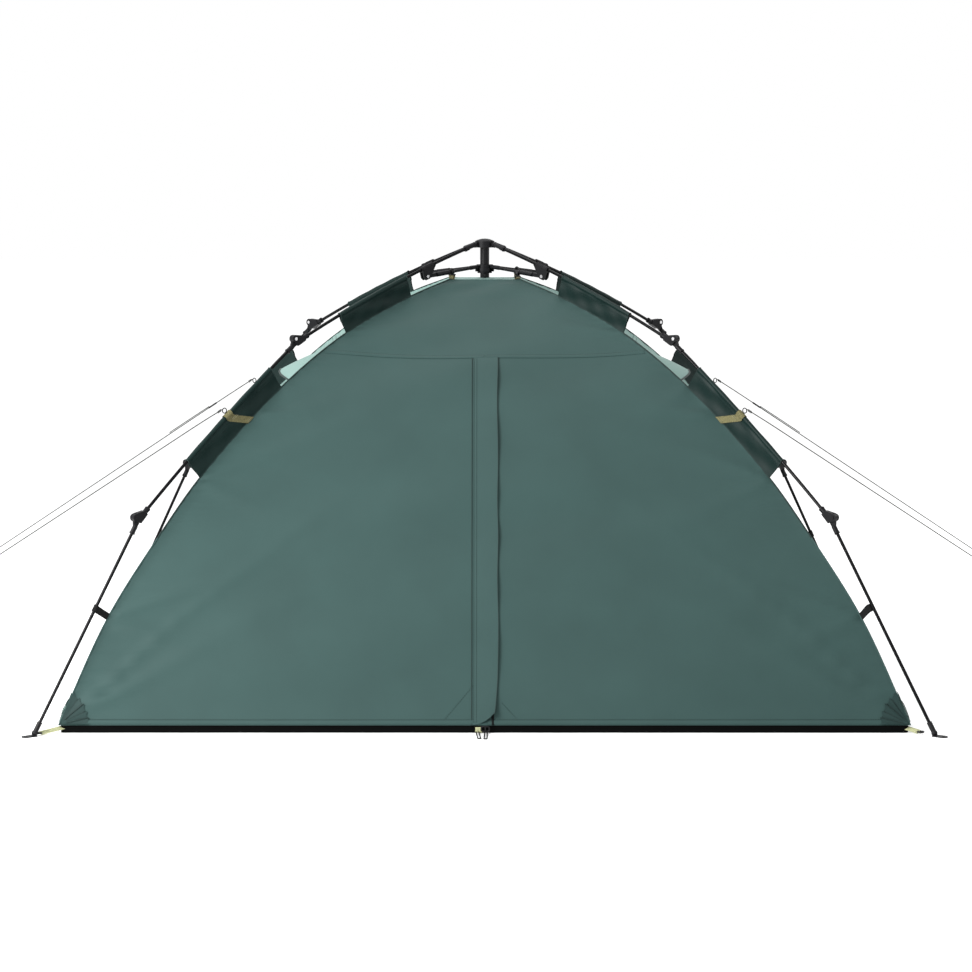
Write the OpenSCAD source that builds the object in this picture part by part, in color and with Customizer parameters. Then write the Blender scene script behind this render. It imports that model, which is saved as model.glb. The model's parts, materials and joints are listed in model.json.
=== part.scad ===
// Dome tent under an outside frame of four jointed legs that hang from one hub.
// Millimetres. Z is up, the door looks along -Y, and the origin lies on the ground
// under the hub. Each leg is drawn once in its own upright plane and turned into place.

/* [Frame] */
// Height of the hub cap's top above the ground
total_h = 1350; // [1250:5:1650]
// Angle of the legs in plan, from the tent's long side
leg_plan = 41.2; // [34:0.2:50]
// Hub pivot to upper elbow pin
arm_len = 761; // [620:1:920]
// Slope of the upper poles below the level
arm_slope = 19.9; // [16:0.1:24]
// Upper elbow pin to lower elbow pin
mid_len = 751; // [620:1:910]
// Slope of the middle poles below the level
mid_slope = 40.2; // [36:0.1:44]
// Slope of the lower poles below the level
low_slope = 57.8; // [54:0.1:64]

/* [Poles] */
// Diameter of every pole
rod_d = 9.5; // [7.5:0.1:12]
// How far an upper pole bows outward
arm_bow = 15; // [0:1:20]
// How far a middle pole bows outward
mid_bow = 10; // [0:1:16]
// Elbow pin's distance from the pole's axis
pin_off = 14; // [13:0.5:18]
// Diameter of the elbow and bracket pins
pin_d = 6; // [4:0.5:8]
// Thickness of a tongue that turns in a fork
tongue_t = 8; // [6:0.5:10]
// Thickness of each cheek of a fork
cheek_t = 4.5; // [3:0.5:6]
// Wall of a plastic socket round a pole
socket_wall = 3; // [2:0.25:5]

/* [Hub] */
// Diameter of the hub cap
hub_d = 60; // [54:1:72]
// Radius of the circle of arm pivots
hub_pivot_r = 23; // [21:0.5:26]
// Arm pivots below the top of the cap
cap_rise = 20; // [18:0.5:24]
// Arm's axis stands off its pivot, outward
arm_off = 6; // [5:0.5:9]
// Diameter of the centre shaft
shaft_d = 28; // [24:0.5:29]
// Bore of the centre shaft
shaft_bore = 22; // [16:0.5:23]
// Length of the centre shaft below the arm pivots
shaft_len = 99; // [92:1:115]
// Diameter of the runner on the shaft
runner_d = 58; // [54:1:64]
// Radius of the circle of strut pivots on the runner
runner_pivot_r = 20.5; // [20:0.5:22]
// Strut pivots below the arm pivots
runner_drop = 65; // [60:1:70]
// Diameter of the hub and runner pins
hub_pin_d = 4; // [3:0.5:5]

/* [Struts] */
// Bracket pin from the arm pivot, along the arm
bracket_at = 229; // [210:1:250]
// Diameter of a strut's tube
strut_d = 9; // [7:0.5:11]
// Thickness of a strut's free tongue in its bracket
strut_tongue_t = 6; // [4:0.5:7]

/* [Canopy] */
// Drawn thickness of the cloth
cloth_t = 2; // [1.5:0.25:3]
// Radius from the shaft to a corner of the flat roof
roof_r = 142; // [110:1:180]
// Flat roof below the top of the cap
roof_drop = 121; // [119:1:135]
// Width of the upper sleeves' web
upper_web = 54; // [46:1:70]
// Width of the lower sleeves' web
lower_web = 62; // [50:1:80]
// Gap between lower elbow pin and the canopy's edge
elbow_gap = 101; // [80:1:120]
// Gap between lower pole and the canopy at the elastic strap
strap_gap = 52; // [40:1:70]
// How far the canopy's corners stand inside the feet
corner_in = 80; // [70:1:100]
// Height of the canopy's hem above the ground
hem_z = 22; // [16:1:40]
// Width of the storm flap over the door zip
flap_w = 66; // [50:1:90]
// Width of all webbing straps
strap_w = 20; // [15:1:25]

/* [Feet] */
// Radius of the ball under each leg
foot_ball_r = 9; // [7:0.5:12]
// Diameter of the stake hole in each foot's tab
stake_hole_d = 9; // [7:0.5:10]
// Thickness of a foot's tab
tab_t = 3; // [2:0.5:4]

/* [Hidden] */
$fn = 48;
LEGS = ["front_left", "front_right", "rear_left", "rear_right"];
LEG_TURN = [180 + leg_plan, -leg_plan, 180 - leg_plan, leg_plan];
LEG_PARTS = ["upper_pole", "arm_fittings", "arm_pins", "strut", "middle_pole",
             "middle_fittings", "lower_pole", "lower_knuckle", "foot"];

run_fit = 0.08;            // radial clearance of a pin that turns
slide_fit = 0.3;           // clearance of faces that slide or turn past each other
rod_fit = 0.15;            // clearance between a pole and its socket
head_h = 1.8;              // height of a pin's head
rod_r = rod_d / 2;
socket_r = rod_r + socket_wall;
fork_w = tongue_t + 2 * slide_fit + 2 * cheek_t;
fork_len = 50;             // elbow fork, from the pin to its mouth over the pole
knuckle_len = 44;          // elbow knuckle, from the pin to its mouth
rod_start = 22;            // where a pole starts inside a knuckle
rod_stop = 24;             // where a pole stops inside a fork

// ---- the leg's plane: [outward, up] ----
function dir(a) = [cos(a), sin(a)];
function out_of(a) = [sin(a), cos(a)];          // outer side of a pole that slopes down by a
function down(a) = [cos(a), -sin(a)];
hub_z = total_h - cap_rise;
hub_p = [hub_pivot_r, hub_z];
elbow1 = hub_p + arm_len * down(arm_slope);
elbow2 = elbow1 + mid_len * down(mid_slope);
arm_end = elbow1 - pin_off * out_of(arm_slope);
mid_a = elbow1 - pin_off * out_of(mid_slope);
mid_b = elbow2 - pin_off * out_of(mid_slope);
low_a = elbow2 - pin_off * out_of(low_slope);
low_len = (low_a[1] - foot_ball_r) / sin(low_slope);
foot_p = low_a + low_len * down(low_slope);
foot_r = foot_p[0];

// A bowed pole is an arc from p to q that stands bow proud of the straight line
function arc_r(p, q, bow) = norm(q - p)^2 / (8 * bow) + bow / 2;
function arc_mid(p, q, bow) =
    let (d = (q - p) / norm(q - p), n = [-d[1], d[0]]) (p + q) / 2 - n * (arc_r(p, q, bow) - bow);
function arc_a(c, p) = atan2(p[1] - c[1], p[0] - c[0]);
arm_arc_p = hub_p + arm_off * out_of(arm_slope);
arm_arc_r = arc_r(arm_arc_p, arm_end, arm_bow);
arm_c = arc_mid(arm_arc_p, arm_end, arm_bow);
arm_a0 = arc_a(arm_c, arm_end);
arm_a1 = arc_a(arm_c, arm_arc_p);
mid_arc_r = arc_r(mid_a, mid_b, mid_bow);
mid_c = arc_mid(mid_a, mid_b, mid_bow);
mid_a0 = arc_a(mid_c, mid_b);
mid_a1 = arc_a(mid_c, mid_a);
low_n = 90 - low_slope;    // angle of the lower pole's outer side
function on_arm(t) = arm_c + arm_arc_r * dir(arm_a1 + (arm_a0 - arm_a1) * t);
function on_mid(t) = mid_c + mid_arc_r * dir(mid_a1 + (mid_a0 - mid_a1) * t);
function n_arm(t) = arm_a1 + (arm_a0 - arm_a1) * t;
function n_mid(t) = mid_a1 + (mid_a0 - mid_a1) * t;
bend1 = n_arm(1) - n_mid(0);
bend2 = n_mid(1) - low_n;

// a point in the frame of a pole's place: [outer side, back up the pole]
function local(p, o, n) = [(p - o) * dir(n), (p - o) * [-sin(n), cos(n)]];
hub_pin = local(hub_p, arm_arc_p, n_arm(0));
fork1_pin = local(elbow1, arm_end, n_arm(1));
knuckle1_pin = local(elbow1, mid_a, n_mid(0));
fork2_pin = local(elbow2, mid_b, n_mid(1));
knuckle2_pin = [pin_off, 0];

// strut: from the runner's pivot to the bracket's pin
bracket_t = bracket_at / arm_len;
bracket_in = 25;           // bracket pin inside the arm's axis
bracket_p = on_arm(bracket_t) - bracket_in * dir(n_arm(bracket_t));
runner_p = [runner_pivot_r, hub_z - runner_drop];
strut_v = bracket_p - runner_p;
strut_len = norm(strut_v);
strut_slope = -atan2(strut_v[1], strut_v[0]);

// ---- the canopy's seam in the leg's plane, from the roof to the ground ----
UPPER_SLEEVE = [0.40, 0.76];     // where it starts and stops along the upper pole
LOWER_SLEEVE = [0.165, 0.685];   // the same on the middle pole
STRAP_AT = 0.42;                 // the elastic strap along the lower pole
GUY_AT = 0.43;                   // the guy strap along the middle pole
elbow2_n = (n_mid(1) + low_n) / 2;
function seam_arm(t) = on_arm(t) - (upper_web + rod_r) * dir(n_arm(t));
function seam_mid(t) = on_mid(t) - (lower_web + rod_r) * dir(n_mid(t));
strap_p = low_a + STRAP_AT * low_len * down(low_slope);
SEAM = [[roof_r, total_h - roof_drop],
        seam_arm(UPPER_SLEEVE[0]), seam_arm(UPPER_SLEEVE[1]),
        seam_mid(LOWER_SLEEVE[0]), seam_mid(LOWER_SLEEVE[1]),
        elbow2 - elbow_gap * dir(elbow2_n),
        strap_p - strap_gap * dir(low_n),
        [foot_r - corner_in, hem_z]];
LAST = len(SEAM) - 1;
skin_d = cloth_t / sin(leg_plan);      // the cloth's depth along the leg's plane
function skin_in(i) =
    i == 0 ? SEAM[0] - [0, skin_d]
    : i == LAST ? SEAM[i] - [skin_d / sin(low_slope), 0]
    : let (a = SEAM[i] - SEAM[i - 1], b = SEAM[i + 1] - SEAM[i],
           u = a / norm(a) + b / norm(b), n = [u[1], -u[0]] / norm(u)) SEAM[i] + n * skin_d;
SEAM_IN = [for (i = [0 : LAST]) skin_in(i)];
function turned(p, a) = [p[0] * cos(a), p[0] * sin(a), p[1]];

// ---- placing ----
module at_legs() { for (a = LEG_TURN) rotate([0, 0, a]) children(); }
module at_leg(i) { rotate([0, 0, LEG_TURN[i]]) children(); }
// local X is the pole's outer side, local Z looks back up the pole
module at_rod(p, n) { translate([p[0], 0, p[1]]) rotate([0, -n, 0]) children(); }
module at_arm(t) { at_rod(on_arm(t), n_arm(t)) children(); }
module at_mid(t) { at_rod(on_mid(t), n_mid(t)) children(); }
module at_low(s) { at_rod(low_a + s * down(low_slope), low_n) children(); }
module side_plate(t) { rotate([90, 0, 0]) translate([0, 0, -t / 2]) linear_extrude(t) children(); }
module arc_rod(c, r, a0, a1, skip0, skip1, grow = 0) {
    s0 = skip0 / r * 180 / PI;
    s1 = skip1 / r * 180 / PI;
    translate([c[0], 0, c[1]]) rotate([0, -(a0 + s0), 0]) rotate([90, 0, 0])
        rotate_extrude(angle = a1 - a0 - s0 - s1, $fn = 720) translate([r, 0])
            circle(rod_r + grow, $fn = 40);
}
// a pin across the leg's plane, its head on both ends
module cross_pin(x, z, d, w) {
    translate([x, 0, z]) rotate([90, 0, 0]) {
        cylinder(h = w, d = d, center = true);
        for (m = [0, 1]) mirror([0, 0, m]) translate([0, 0, w / 2]) cylinder(h = head_h, r = d * 0.8);
    }
}
module cross_bore(x, z, d, w) {
    translate([x, 0, z]) rotate([90, 0, 0]) cylinder(h = w + 2, d = d, center = true);
}

// ---- leg pieces ----
module arm_rod(grow, more) {
    arc_rod(arm_c, arm_arc_r, arm_a0, arm_a1, rod_stop - more, hub_rod - more, grow);
}
module mid_rod(grow, more) {
    arc_rod(mid_c, mid_arc_r, mid_a0, mid_a1, rod_stop - more, rod_start + 2 - more, grow);
}
module upper_pole(i) { color("#141414") at_leg(i) arm_rod(0, 0); }
module middle_pole(i) { color("#141414") at_leg(i) mid_rod(0, 0); }
module lower_pole(i) {
    color("#141414") at_leg(i) at_low(low_len - rod_start)
        cylinder(h = low_len - 2 * rod_start - 2, d = rod_d);
}

stop_x = 2;                 // the web between the cheeks stays inside this
eye_r = 11;                // round end of a fork's cheek
module fork(pin) {
    x = pin[0];
    z = pin[1];
    difference() {
        union() {
            difference() {
                side_plate(fork_w) {
                    translate(pin) circle(eye_r);
                    polygon([[-9, 0.5], [stop_x, z - 6], [x, z - eye_r], [x + eye_r, z], [x + eye_r - 3, 10],
                             [socket_r, 34], [-socket_r, 34], [-9, 10]]);
                }
                // slot for the tongue, open outward
                side_plate(tongue_t + 2 * slide_fit) polygon([[-20, 1.5], [stop_x, 1.5], [stop_x, 13],
                    [40, 13], [40, -20], [-20, -20]]);
            }
            translate([0, 0, 28]) cylinder(h = fork_len - 28, r = socket_r);
            translate([0, 0, fork_len - 5]) cylinder(h = 4, r = socket_r + 0.8);
        }
        cross_bore(x, z, pin_d, fork_w);
    }
}
module knuckle(bend, pin) {
    x = pin[0];
    z = pin[1];
    stop_z = tan(bend) * (x + 5) + 1.5;
    neck_z = max(stop_z, 12);
    difference() {
        union() {
            side_plate(tongue_t) {
                translate(pin) circle(eye_r - 0.5);
                polygon([[x, z - eye_r + 0.5], [5, -neck_z - 12], [-5, -neck_z - 12], [-5, -stop_z],
                         [x - 9, z - tan(bend) * 9 - 1.5]]);
            }
            translate([0, 0, -knuckle_len]) cylinder(h = 24, r = socket_r - 0.5);
            translate([0, 0, -knuckle_len]) cylinder(h = 3, r = socket_r + 0.6);
        }
        cross_bore(x, z, pin_d + 2 * run_fit, fork_w);
    }
}
hub_flat = 4.4;            // folded, this flat on the socket clears the strut
hub_sock = [15, 58];       // the arm's socket, from the pivot
hub_rod = 43;              // the pole starts here
module hub_end() {
    x = hub_pin[0];
    z = hub_pin[1];
    difference() {
        union() {
            side_plate(hub_tongue_t) {
                translate(hub_pin) circle(6);
                polygon([[x - 4, z + 4.4], [4, z + 4.4], [4, -18], [-hub_flat, -18], [-hub_flat, -8],
                         [x - 5.5, z - 2.4]]);
            }
            translate([0, 0, -hub_sock[1]]) cylinder(h = hub_sock[1] - hub_sock[0], r = socket_r);
        }
        translate([-hub_flat - 20, -20, -hub_rod + 1]) cube([20, 40, hub_rod - 15.5]);
        cross_bore(x, z, hub_pin_d + 2 * run_fit, 20);
    }
}
bracket_clamp_r = rod_r + socket_wall;
module strut_bracket() {
    gap = strut_tongue_t + 2;
    difference() {
        union() {
            translate([0, 0, -12]) cylinder(h = 48, r = bracket_clamp_r);
            side_plate(gap + 2 * cheek_t) polygon([[-bracket_in - 9, -9], [-bracket_in - 9, 7],
                [-bracket_clamp_r - 3, 34], [0, 34], [0, -12], [-bracket_in, -14]]);
        }
        side_plate(gap) polygon([[-bracket_in - 20, -40], [-bracket_in - 20, 60],
            [-bracket_clamp_r, 60], [-bracket_clamp_r, -40]]);
        cross_bore(-bracket_in, 0, pin_d, gap + 2 * cheek_t);
    }
}
hub_tongue_t = 7;
module arm_fittings(i) {
    color("#2b2b2d") at_leg(i) difference() {
        union() {
            at_rod(arm_arc_p, n_arm(0)) hub_end();
            at_arm(bracket_t) strut_bracket();
            at_rod(arm_end, n_arm(1)) fork(fork1_pin);
        }
        arm_rod(rod_fit, 0.5);
    }
}
module arm_pins(i) {
    cheek_mid = strut_tongue_t / 2 + 1 + cheek_t / 2;
    color("#c8c8c8") at_leg(i) {
        at_rod(arm_end, n_arm(1)) cross_pin(fork1_pin[0], fork1_pin[1], pin_d, fork_w);
        // the bracket's pin is a rivet in each cheek
        at_arm(bracket_t) for (m = [0, 1]) mirror([0, m, 0])
            translate([-bracket_in, cheek_mid, 0]) rotate([90, 0, 0]) {
                cylinder(h = cheek_t, d = pin_d, center = true);
                translate([0, 0, -cheek_t / 2 - head_h]) cylinder(h = head_h, r = pin_d * 0.8);
            }
    }
}
strut_sock_r = strut_d / 2 + 2.5;
strut_collar = [13, 38];
module strut(i) {
    color("#2b2b2d") at_leg(i) translate([runner_p[0], 0, runner_p[1]]) rotate([0, 90 + strut_slope, 0]) {
        difference() {
            union() {
                side_plate(hub_tongue_t) { circle(4.8); translate([-4, 0]) square([8, strut_collar[0] + 2]); }
                translate([0, 0, strut_collar[0]]) cylinder(h = strut_collar[1] - strut_collar[0], r = strut_d / 2 + 1);
                translate([0, 0, 30]) cylinder(h = strut_len - 90, r = strut_d / 2);
                translate([0, 0, strut_len - 92]) cylinder(h = 50, r = strut_sock_r);
                side_plate(strut_tongue_t) { translate([0, strut_len]) circle(6);
                    translate([-6, strut_len - 50]) square([12, 50]); }
            }
            cross_bore(0, 0, hub_pin_d + 2 * run_fit, 20);
        }
    }
}
module middle_fittings(i) {
    color("#2b2b2d") at_leg(i) difference() {
        union() {
            at_rod(mid_a, n_mid(0)) knuckle(bend1, knuckle1_pin);
            at_rod(mid_b, n_mid(1)) fork(fork2_pin);
        }
        mid_rod(rod_fit, 0.5);
    }
    color("#c8c8c8") at_leg(i) at_rod(mid_b, n_mid(1)) cross_pin(fork2_pin[0], fork2_pin[1], pin_d, fork_w);
}
module lower_knuckle(i) {
    color("#2b2b2d") at_leg(i) at_low(0) difference() {
        knuckle(bend2, knuckle2_pin);
        translate([0, 0, -knuckle_len - 10])
            cylinder(h = knuckle_len + 10 - rod_start + 0.5, r = rod_r + rod_fit);
    }
}
foot_sock = 34;
tab_len = 42;
tab_w = 26;
module foot(i) {
    color("#303032") at_leg(i) {
        difference() {
            union() {
                translate([foot_p[0], 0, foot_p[1]]) sphere(foot_ball_r);
                at_low(low_len) cylinder(h = foot_sock, r = socket_r - 0.5);
            }
            at_low(low_len) translate([0, 0, rod_start - 0.5]) cylinder(h = 60, r = rod_r + rod_fit);
        }
        // flat tab with the stake hole
        translate([foot_p[0], 0, 0.5]) difference() {
            union() {
                translate([0, -tab_w / 2, 0]) cube([tab_len - tab_w / 2, tab_w, tab_t]);
                translate([tab_len - tab_w / 2, 0, 0]) cylinder(h = tab_t, r = tab_w / 2);
            }
            translate([tab_len - tab_w / 2, 0, -1]) cylinder(h = tab_t + 2, d = stake_hole_d);
        }
    }
}

// ---- hub ----
hub_under = 7;            // hub body below the pivots
slot_w = hub_tongue_t + 2 * slide_fit;
dome_h = 8;                 // height of the cap's dome
dome_r = hub_d^2 / (8 * dome_h) + dome_h / 2;
module pivot_slots(r_in, z0, z1, w = slot_w) {
    at_legs() translate([r_in, -w / 2, z0]) cube([60, w, z1 - z0]);
}
module hub_cap() {
    color("#38383a") translate([0, 0, hub_z]) difference() {
        union() {
            translate([0, 0, -hub_under]) cylinder(h = hub_under + cap_rise - dome_h, d = hub_d, $fn = 96);
            translate([0, 0, cap_rise - dome_h]) rotate_extrude($fn = 96) intersection() {
                translate([0, dome_h - dome_r]) circle(dome_r, $fn = 180);
                square([hub_d / 2, dome_h]);
            }
        }
        translate([0, 0, -hub_under - 1]) cylinder(h = hub_under + 1 + shaft_up, d = shaft_d, $fn = 96);
        pivot_slots(shaft_d / 2 + 2, -hub_under - 1, 12);
        pivot_slots(hub_pivot_r + 5.5, -hub_under - 1, 14, 2 * socket_r + 1);
        at_legs() cross_bore(hub_pivot_r, 0, hub_pin_d, 14);
    }
}
module pin_set(r, z) {
    color("#c8c8c8") at_legs() translate([r, 0, z]) rotate([90, 0, 0])
        cylinder(h = 15, d = hub_pin_d, center = true);
}
module hub_pins() { pin_set(hub_pivot_r, hub_z); }
shaft_up = 10;              // the shaft's seat in the cap, above the pivots
module centre_shaft() {
    color("#202022") translate([0, 0, hub_z - shaft_len]) difference() {
        cylinder(h = shaft_len + shaft_up, d = shaft_d, $fn = 96);
        translate([0, 0, 4]) cylinder(h = shaft_len, d = shaft_bore, $fn = 96);
        translate([0, 0, -1]) cylinder(h = 6, d = 8);
    }
}
module roof_hook() {
    // ring and hook that hang the roof's middle on the shaft's foot
    z0 = hub_z - shaft_len;
    color("#1c1c1e") translate([0, -shaft_d / 2 - 1, z0 + 6.5]) {
        translate([-6, -1.5, -5]) cube([12, 2.4, 10]);
        translate([0, -6, 0]) rotate([0, 90, 0]) rotate_extrude() translate([5.5, 0]) circle(1.6, $fn = 24);
    }
}
runner_over = 6.5;
runner_under = 15;
runner_lip = 5;
module runner() {
    color("#2b2b2d") translate([0, 0, hub_z - runner_drop]) difference() {
        union() {
            translate([0, 0, -runner_under]) cylinder(h = runner_under + runner_over, d = runner_d - 8, $fn = 96);
            translate([0, 0, -runner_under]) cylinder(h = 11, d = runner_d, $fn = 96);
            translate([0, 0, -runner_under - runner_lip])
                cylinder(h = runner_lip + 0.01, d = runner_d - 14, $fn = 96);
        }
        translate([0, 0, -40]) cylinder(h = 80, d = shaft_d + 2 * slide_fit, $fn = 96);
        pivot_slots(shaft_d / 2 + 1.2, -8, 40);
        // wider below, where the folded strut hangs, and outside it for the folded arm
        pivot_slots(shaft_d / 2 + 1.2, -40, -7, strut_d + 3);
        pivot_slots(runner_pivot_r + 3, -40, 40, 2 * socket_r + 1.5);
        at_legs() cross_bore(runner_pivot_r, 0, hub_pin_d, 14);
    }
}
module runner_pins() { pin_set(runner_pivot_r, hub_z - runner_drop); }

// ---- canopy ----
// closed strip between two edges: rows of outer and inner corners
module strip(ol, or, ir, il) {
    n = len(ol);
    points = concat(ol, or, ir, il);
    faces = concat(
        [for (k = [0 : 3], i = [0 : n - 2]) let (a = k * n, b = ((k + 1) % 4) * n)
            [a + i, b + i, b + i + 1, a + i + 1]],
        [[0, 3 * n, 2 * n, n]], [[n - 1, 2 * n - 1, 3 * n - 1, 4 * n - 1]]);
    polyhedron(points, faces, convexity = 6);
}
module panel(turn_l, turn_r) {
    strip([for (p = SEAM) turned(p, turn_l)], [for (p = SEAM) turned(p, turn_r)],
          [for (p = SEAM_IN) turned(p, turn_r)], [for (p = SEAM_IN) turned(p, turn_l)]);
}
module front_panel() { color("#54726f") panel(LEG_TURN[0], 360 + LEG_TURN[1]); }
module rear_panel() { color("#54726f") panel(LEG_TURN[3], LEG_TURN[2]); }
module side_panels() {
    color("#7fa39b") { panel(LEG_TURN[2], LEG_TURN[0]); panel(LEG_TURN[1], LEG_TURN[3]); }
}
module roof_panel() {
    color("#7fa39b") polyhedron(
        concat([for (k = [1, 3, 2, 0]) turned(SEAM[0], LEG_TURN[k])],
               [for (k = [1, 3, 2, 0]) turned(SEAM_IN[0], LEG_TURN[k])]),
        [[3, 2, 1, 0], [4, 5, 6, 7], [0, 1, 5, 4], [1, 2, 6, 5], [2, 3, 7, 6], [3, 0, 4, 7]]);
}
tub_t = 2.5;
module groundsheet() {
    hx = (SEAM_IN[LAST][0]) * cos(leg_plan);
    hy = (SEAM_IN[LAST][0]) * sin(leg_plan);
    color("#101112") difference() {
        translate([-hx, -hy, 0]) cube([2 * hx, 2 * hy, hem_z]);
        translate([-hx + tub_t, -hy + tub_t, tub_t]) cube([2 * hx - 2 * tub_t, 2 * hy - 2 * tub_t, hem_z]);
    }
}
flap_x = [-flap_w / 2 + 4, flap_w / 2 + 4];
flap_off = 1;
module storm_flap() {
    rows = [for (i = [2 : LAST]) [-SEAM[i][0] * sin(leg_plan), SEAM[i][1] + (i == LAST ? 6 : 0)]];
    color("#5b7a77") strip([for (r = rows) [flap_x[0], r[0] - flap_off - cloth_t, r[1]]],
                           [for (r = rows) [flap_x[1], r[0] - flap_off - cloth_t, r[1]]],
                           [for (r = rows) [flap_x[1], r[0] - flap_off, r[1]]],
                           [for (r = rows) [flap_x[0], r[0] - flap_off, r[1]]]);
}
sleeve_t = 1.6;
sleeve_wall = 1.7;
sleeve_r = rod_r + slide_fit + sleeve_wall;
module web(points) { side_plate(sleeve_t) polygon(points); }
module arc_tube(c, r, a0, a1) {
    translate([c[0], 0, c[1]]) rotate([0, -a0, 0]) rotate([90, 0, 0])
        rotate_extrude(angle = a1 - a0, $fn = 720) translate([r, 0]) difference() {
            circle(sleeve_r, $fn = 32);
            circle(rod_r + slide_fit, $fn = 32);
        }
}
module pole_sleeves() {
    u = UPPER_SLEEVE;
    w = LOWER_SLEEVE;
    seat = rod_r + slide_fit + sleeve_wall / 2;   // the web grows out of the tube's wall
    color("#1f3733") at_legs() {
        web(concat([for (k = [0 : 4]) let (t = u[0] + (u[1] - u[0]) * k / 4) on_arm(t) - seat * dir(n_arm(t))],
                   [SEAM[2], SEAM[1]]));
        arc_tube(arm_c, arm_arc_r, n_arm(u[1]), n_arm(u[0]));
        web(concat([for (k = [0 : 6]) let (t = w[0] + (w[1] - w[0]) * k / 6) on_mid(t) - seat * dir(n_mid(t))],
                   [SEAM[4], SEAM[3]]));
        arc_tube(mid_c, mid_arc_r, n_mid(w[1]), n_mid(w[0]));
    }
}
strap_t = 1.4;
module guy_straps() {
    inner = sleeve_r + 0.3;
    reach = lower_web - 3;
    ring_x = inner + strap_t + 8;
    color("#6e6a45") at_legs() at_mid(GUY_AT) translate([0, 0, -strap_w / 2]) {
        linear_extrude(strap_w) difference() {
            union() {
                circle(inner + strap_t);
                translate([-reach, -sleeve_t / 2 - 0.3 - strap_t])
                    square([reach, sleeve_t + 0.6 + 2 * strap_t]);
            }
            circle(inner);
            translate([-reach - 1, -sleeve_t / 2 - 0.3]) square([reach + 1, sleeve_t + 0.6]);
        }
        translate([ring_x, 0, strap_w / 2]) rotate([90, 0, 0]) rotate_extrude()
            translate([7, 0]) circle(1.6, $fn = 24);
    }
}
module elastic_straps() {
    inner = rod_r + 0.3;
    color("#151515") at_legs() at_low(STRAP_AT * low_len) translate([0, 0, -strap_w / 2])
        linear_extrude(strap_w) difference() {
            union() {
                circle(inner + strap_t);
                translate([-strap_gap + 3, -strap_t]) square([strap_gap - 3, 2 * strap_t]);
            }
            circle(inner);
        }
}
module corner_webbing() {
    x0 = SEAM[LAST][0] + 2;
    color("#b5b78f") at_legs() translate([x0, -strap_w / 2, 5]) cube([foot_r - 7 - x0 - socket_r, strap_w, 2]);
}
hook_r = strut_d / 2 + 0.4;
module roof_hangers() {
    x0 = roof_r - 10;
    s = (x0 - runner_p[0]) / cos(strut_slope);
    zs = runner_p[1] - s * sin(strut_slope);
    top = SEAM[0][1];
    color("#6e6a45") at_legs() {
        translate([x0, 0, zs]) rotate([0, strut_slope, 0]) {
            rotate([0, 90, 0]) translate([0, 0, -8]) linear_extrude(16) difference() {
                circle(hook_r + 3);
                circle(hook_r);
            }
        }
        translate([x0 - 8, -strap_w / 2, top + 1]) cube([2.4, strap_w, zs - top - hook_r - 2.6 - 1]);
    }
}
module vent_hoods() {
    // a stiffened awning on each side, open below
    x_in = SEAM[2][0] * cos(leg_plan) + 2;
    x_row = SEAM[3][0] * cos(leg_plan) + 2;
    top_z = SEAM[2][1];
    low_z = SEAM[3][1];
    f = 0.35;
    x0 = x_in + f * (x_row - x_in) + 2;
    z0 = top_z + f * (low_z - top_z);
    reach_x = 170;
    half_in = 190;
    half_out = 110;
    color("#8fb0a6") for (m = [0, 1]) mirror([m, 0, 0]) strip(
        [[x0, -half_in, z0 + cloth_t], [x0 + reach_x, -half_out, z0 - 52]],
        [[x0, half_in, z0 + cloth_t], [x0 + reach_x, half_out, z0 - 52]],
        [[x0, half_in, z0], [x0 + reach_x, half_out, z0 - 52 - cloth_t]],
        [[x0, -half_in, z0], [x0 + reach_x, -half_out, z0 - 52 - cloth_t]]);
}
door_y = -SEAM[LAST][0] * sin(leg_plan);
// webbing tab, the zip's buckle and two cord loops at the door's foot
module door_tab() {
    color("#8c8a66") translate([-28, door_y - 3, 3]) cube([56, 2, hem_z - 5]);
    color("#111111") translate([4, door_y - 9.5, hem_z - 14]) difference() {
        cube([22, 6, 16]);
        translate([5, -1, 4]) cube([12, 8, 5]);
    }
    color("#151515") for (x = [-20, -8]) translate([x, door_y - 5, 2.2]) {
        for (s = [-4, 4]) translate([s, 0, 0]) rotate([90, 0, 0]) cylinder(h = 46, d = 3.2, $fn = 24);
        translate([0, -46, 0]) rotate([0, 0, 180]) rotate_extrude(angle = 180) translate([4, 0])
            circle(d = 3.2, $fn = 24);
    }
}
// ---- guy lines: front left in full, the others mirrored; points chosen by hand ----
FRONT_GUY = [[-754, -658, 877], [-820, -668, 836], [-900, -678, 784], [-980, -688, 732],
             [-1060, -698, 680], [-1140, -708, 628], [-1220, -718, 576], [-1300, -728, 524],
             [-1380, -738, 472], [-1460, -748, 420]];
REAR_GUY = [[-754, 658, 877], [-840, 668, 821], [-930, 678, 761], [-1020, 688, 701],
            [-1110, 698, 641], [-1200, 708, 581], [-1290, 718, 521], [-1380, 728, 461],
            [-1470, 738, 401], [-1560, 748, 341], [-1640, 757, 288]];
guy_d = 3;
function unit(v) = v / norm(v);
module guy_tube(route) {
    n = len(route);
    sides = 8;
    ring = [for (i = [0 : n - 1])
        let (t = unit(route[min(i + 1, n - 1)] - route[max(i - 1, 0)]),
             u = unit(cross(t, [0, 0, 1])), v = cross(t, u))
        for (k = [0 : sides - 1]) route[i] + guy_d / 2 * (u * cos(k * 360 / sides) + v * sin(k * 360 / sides))];
    faces = concat(
        [[for (k = [0 : sides - 1]) k]],
        [[for (k = [sides - 1 : -1 : 0]) (n - 1) * sides + k]],
        [for (i = [0 : n - 2], k = [0 : sides - 1]) let (k2 = (k + 1) % sides)
            [i * sides + k2, i * sides + k, (i + 1) * sides + k, (i + 1) * sides + k2]]);
    polyhedron(ring, faces);
}
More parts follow.
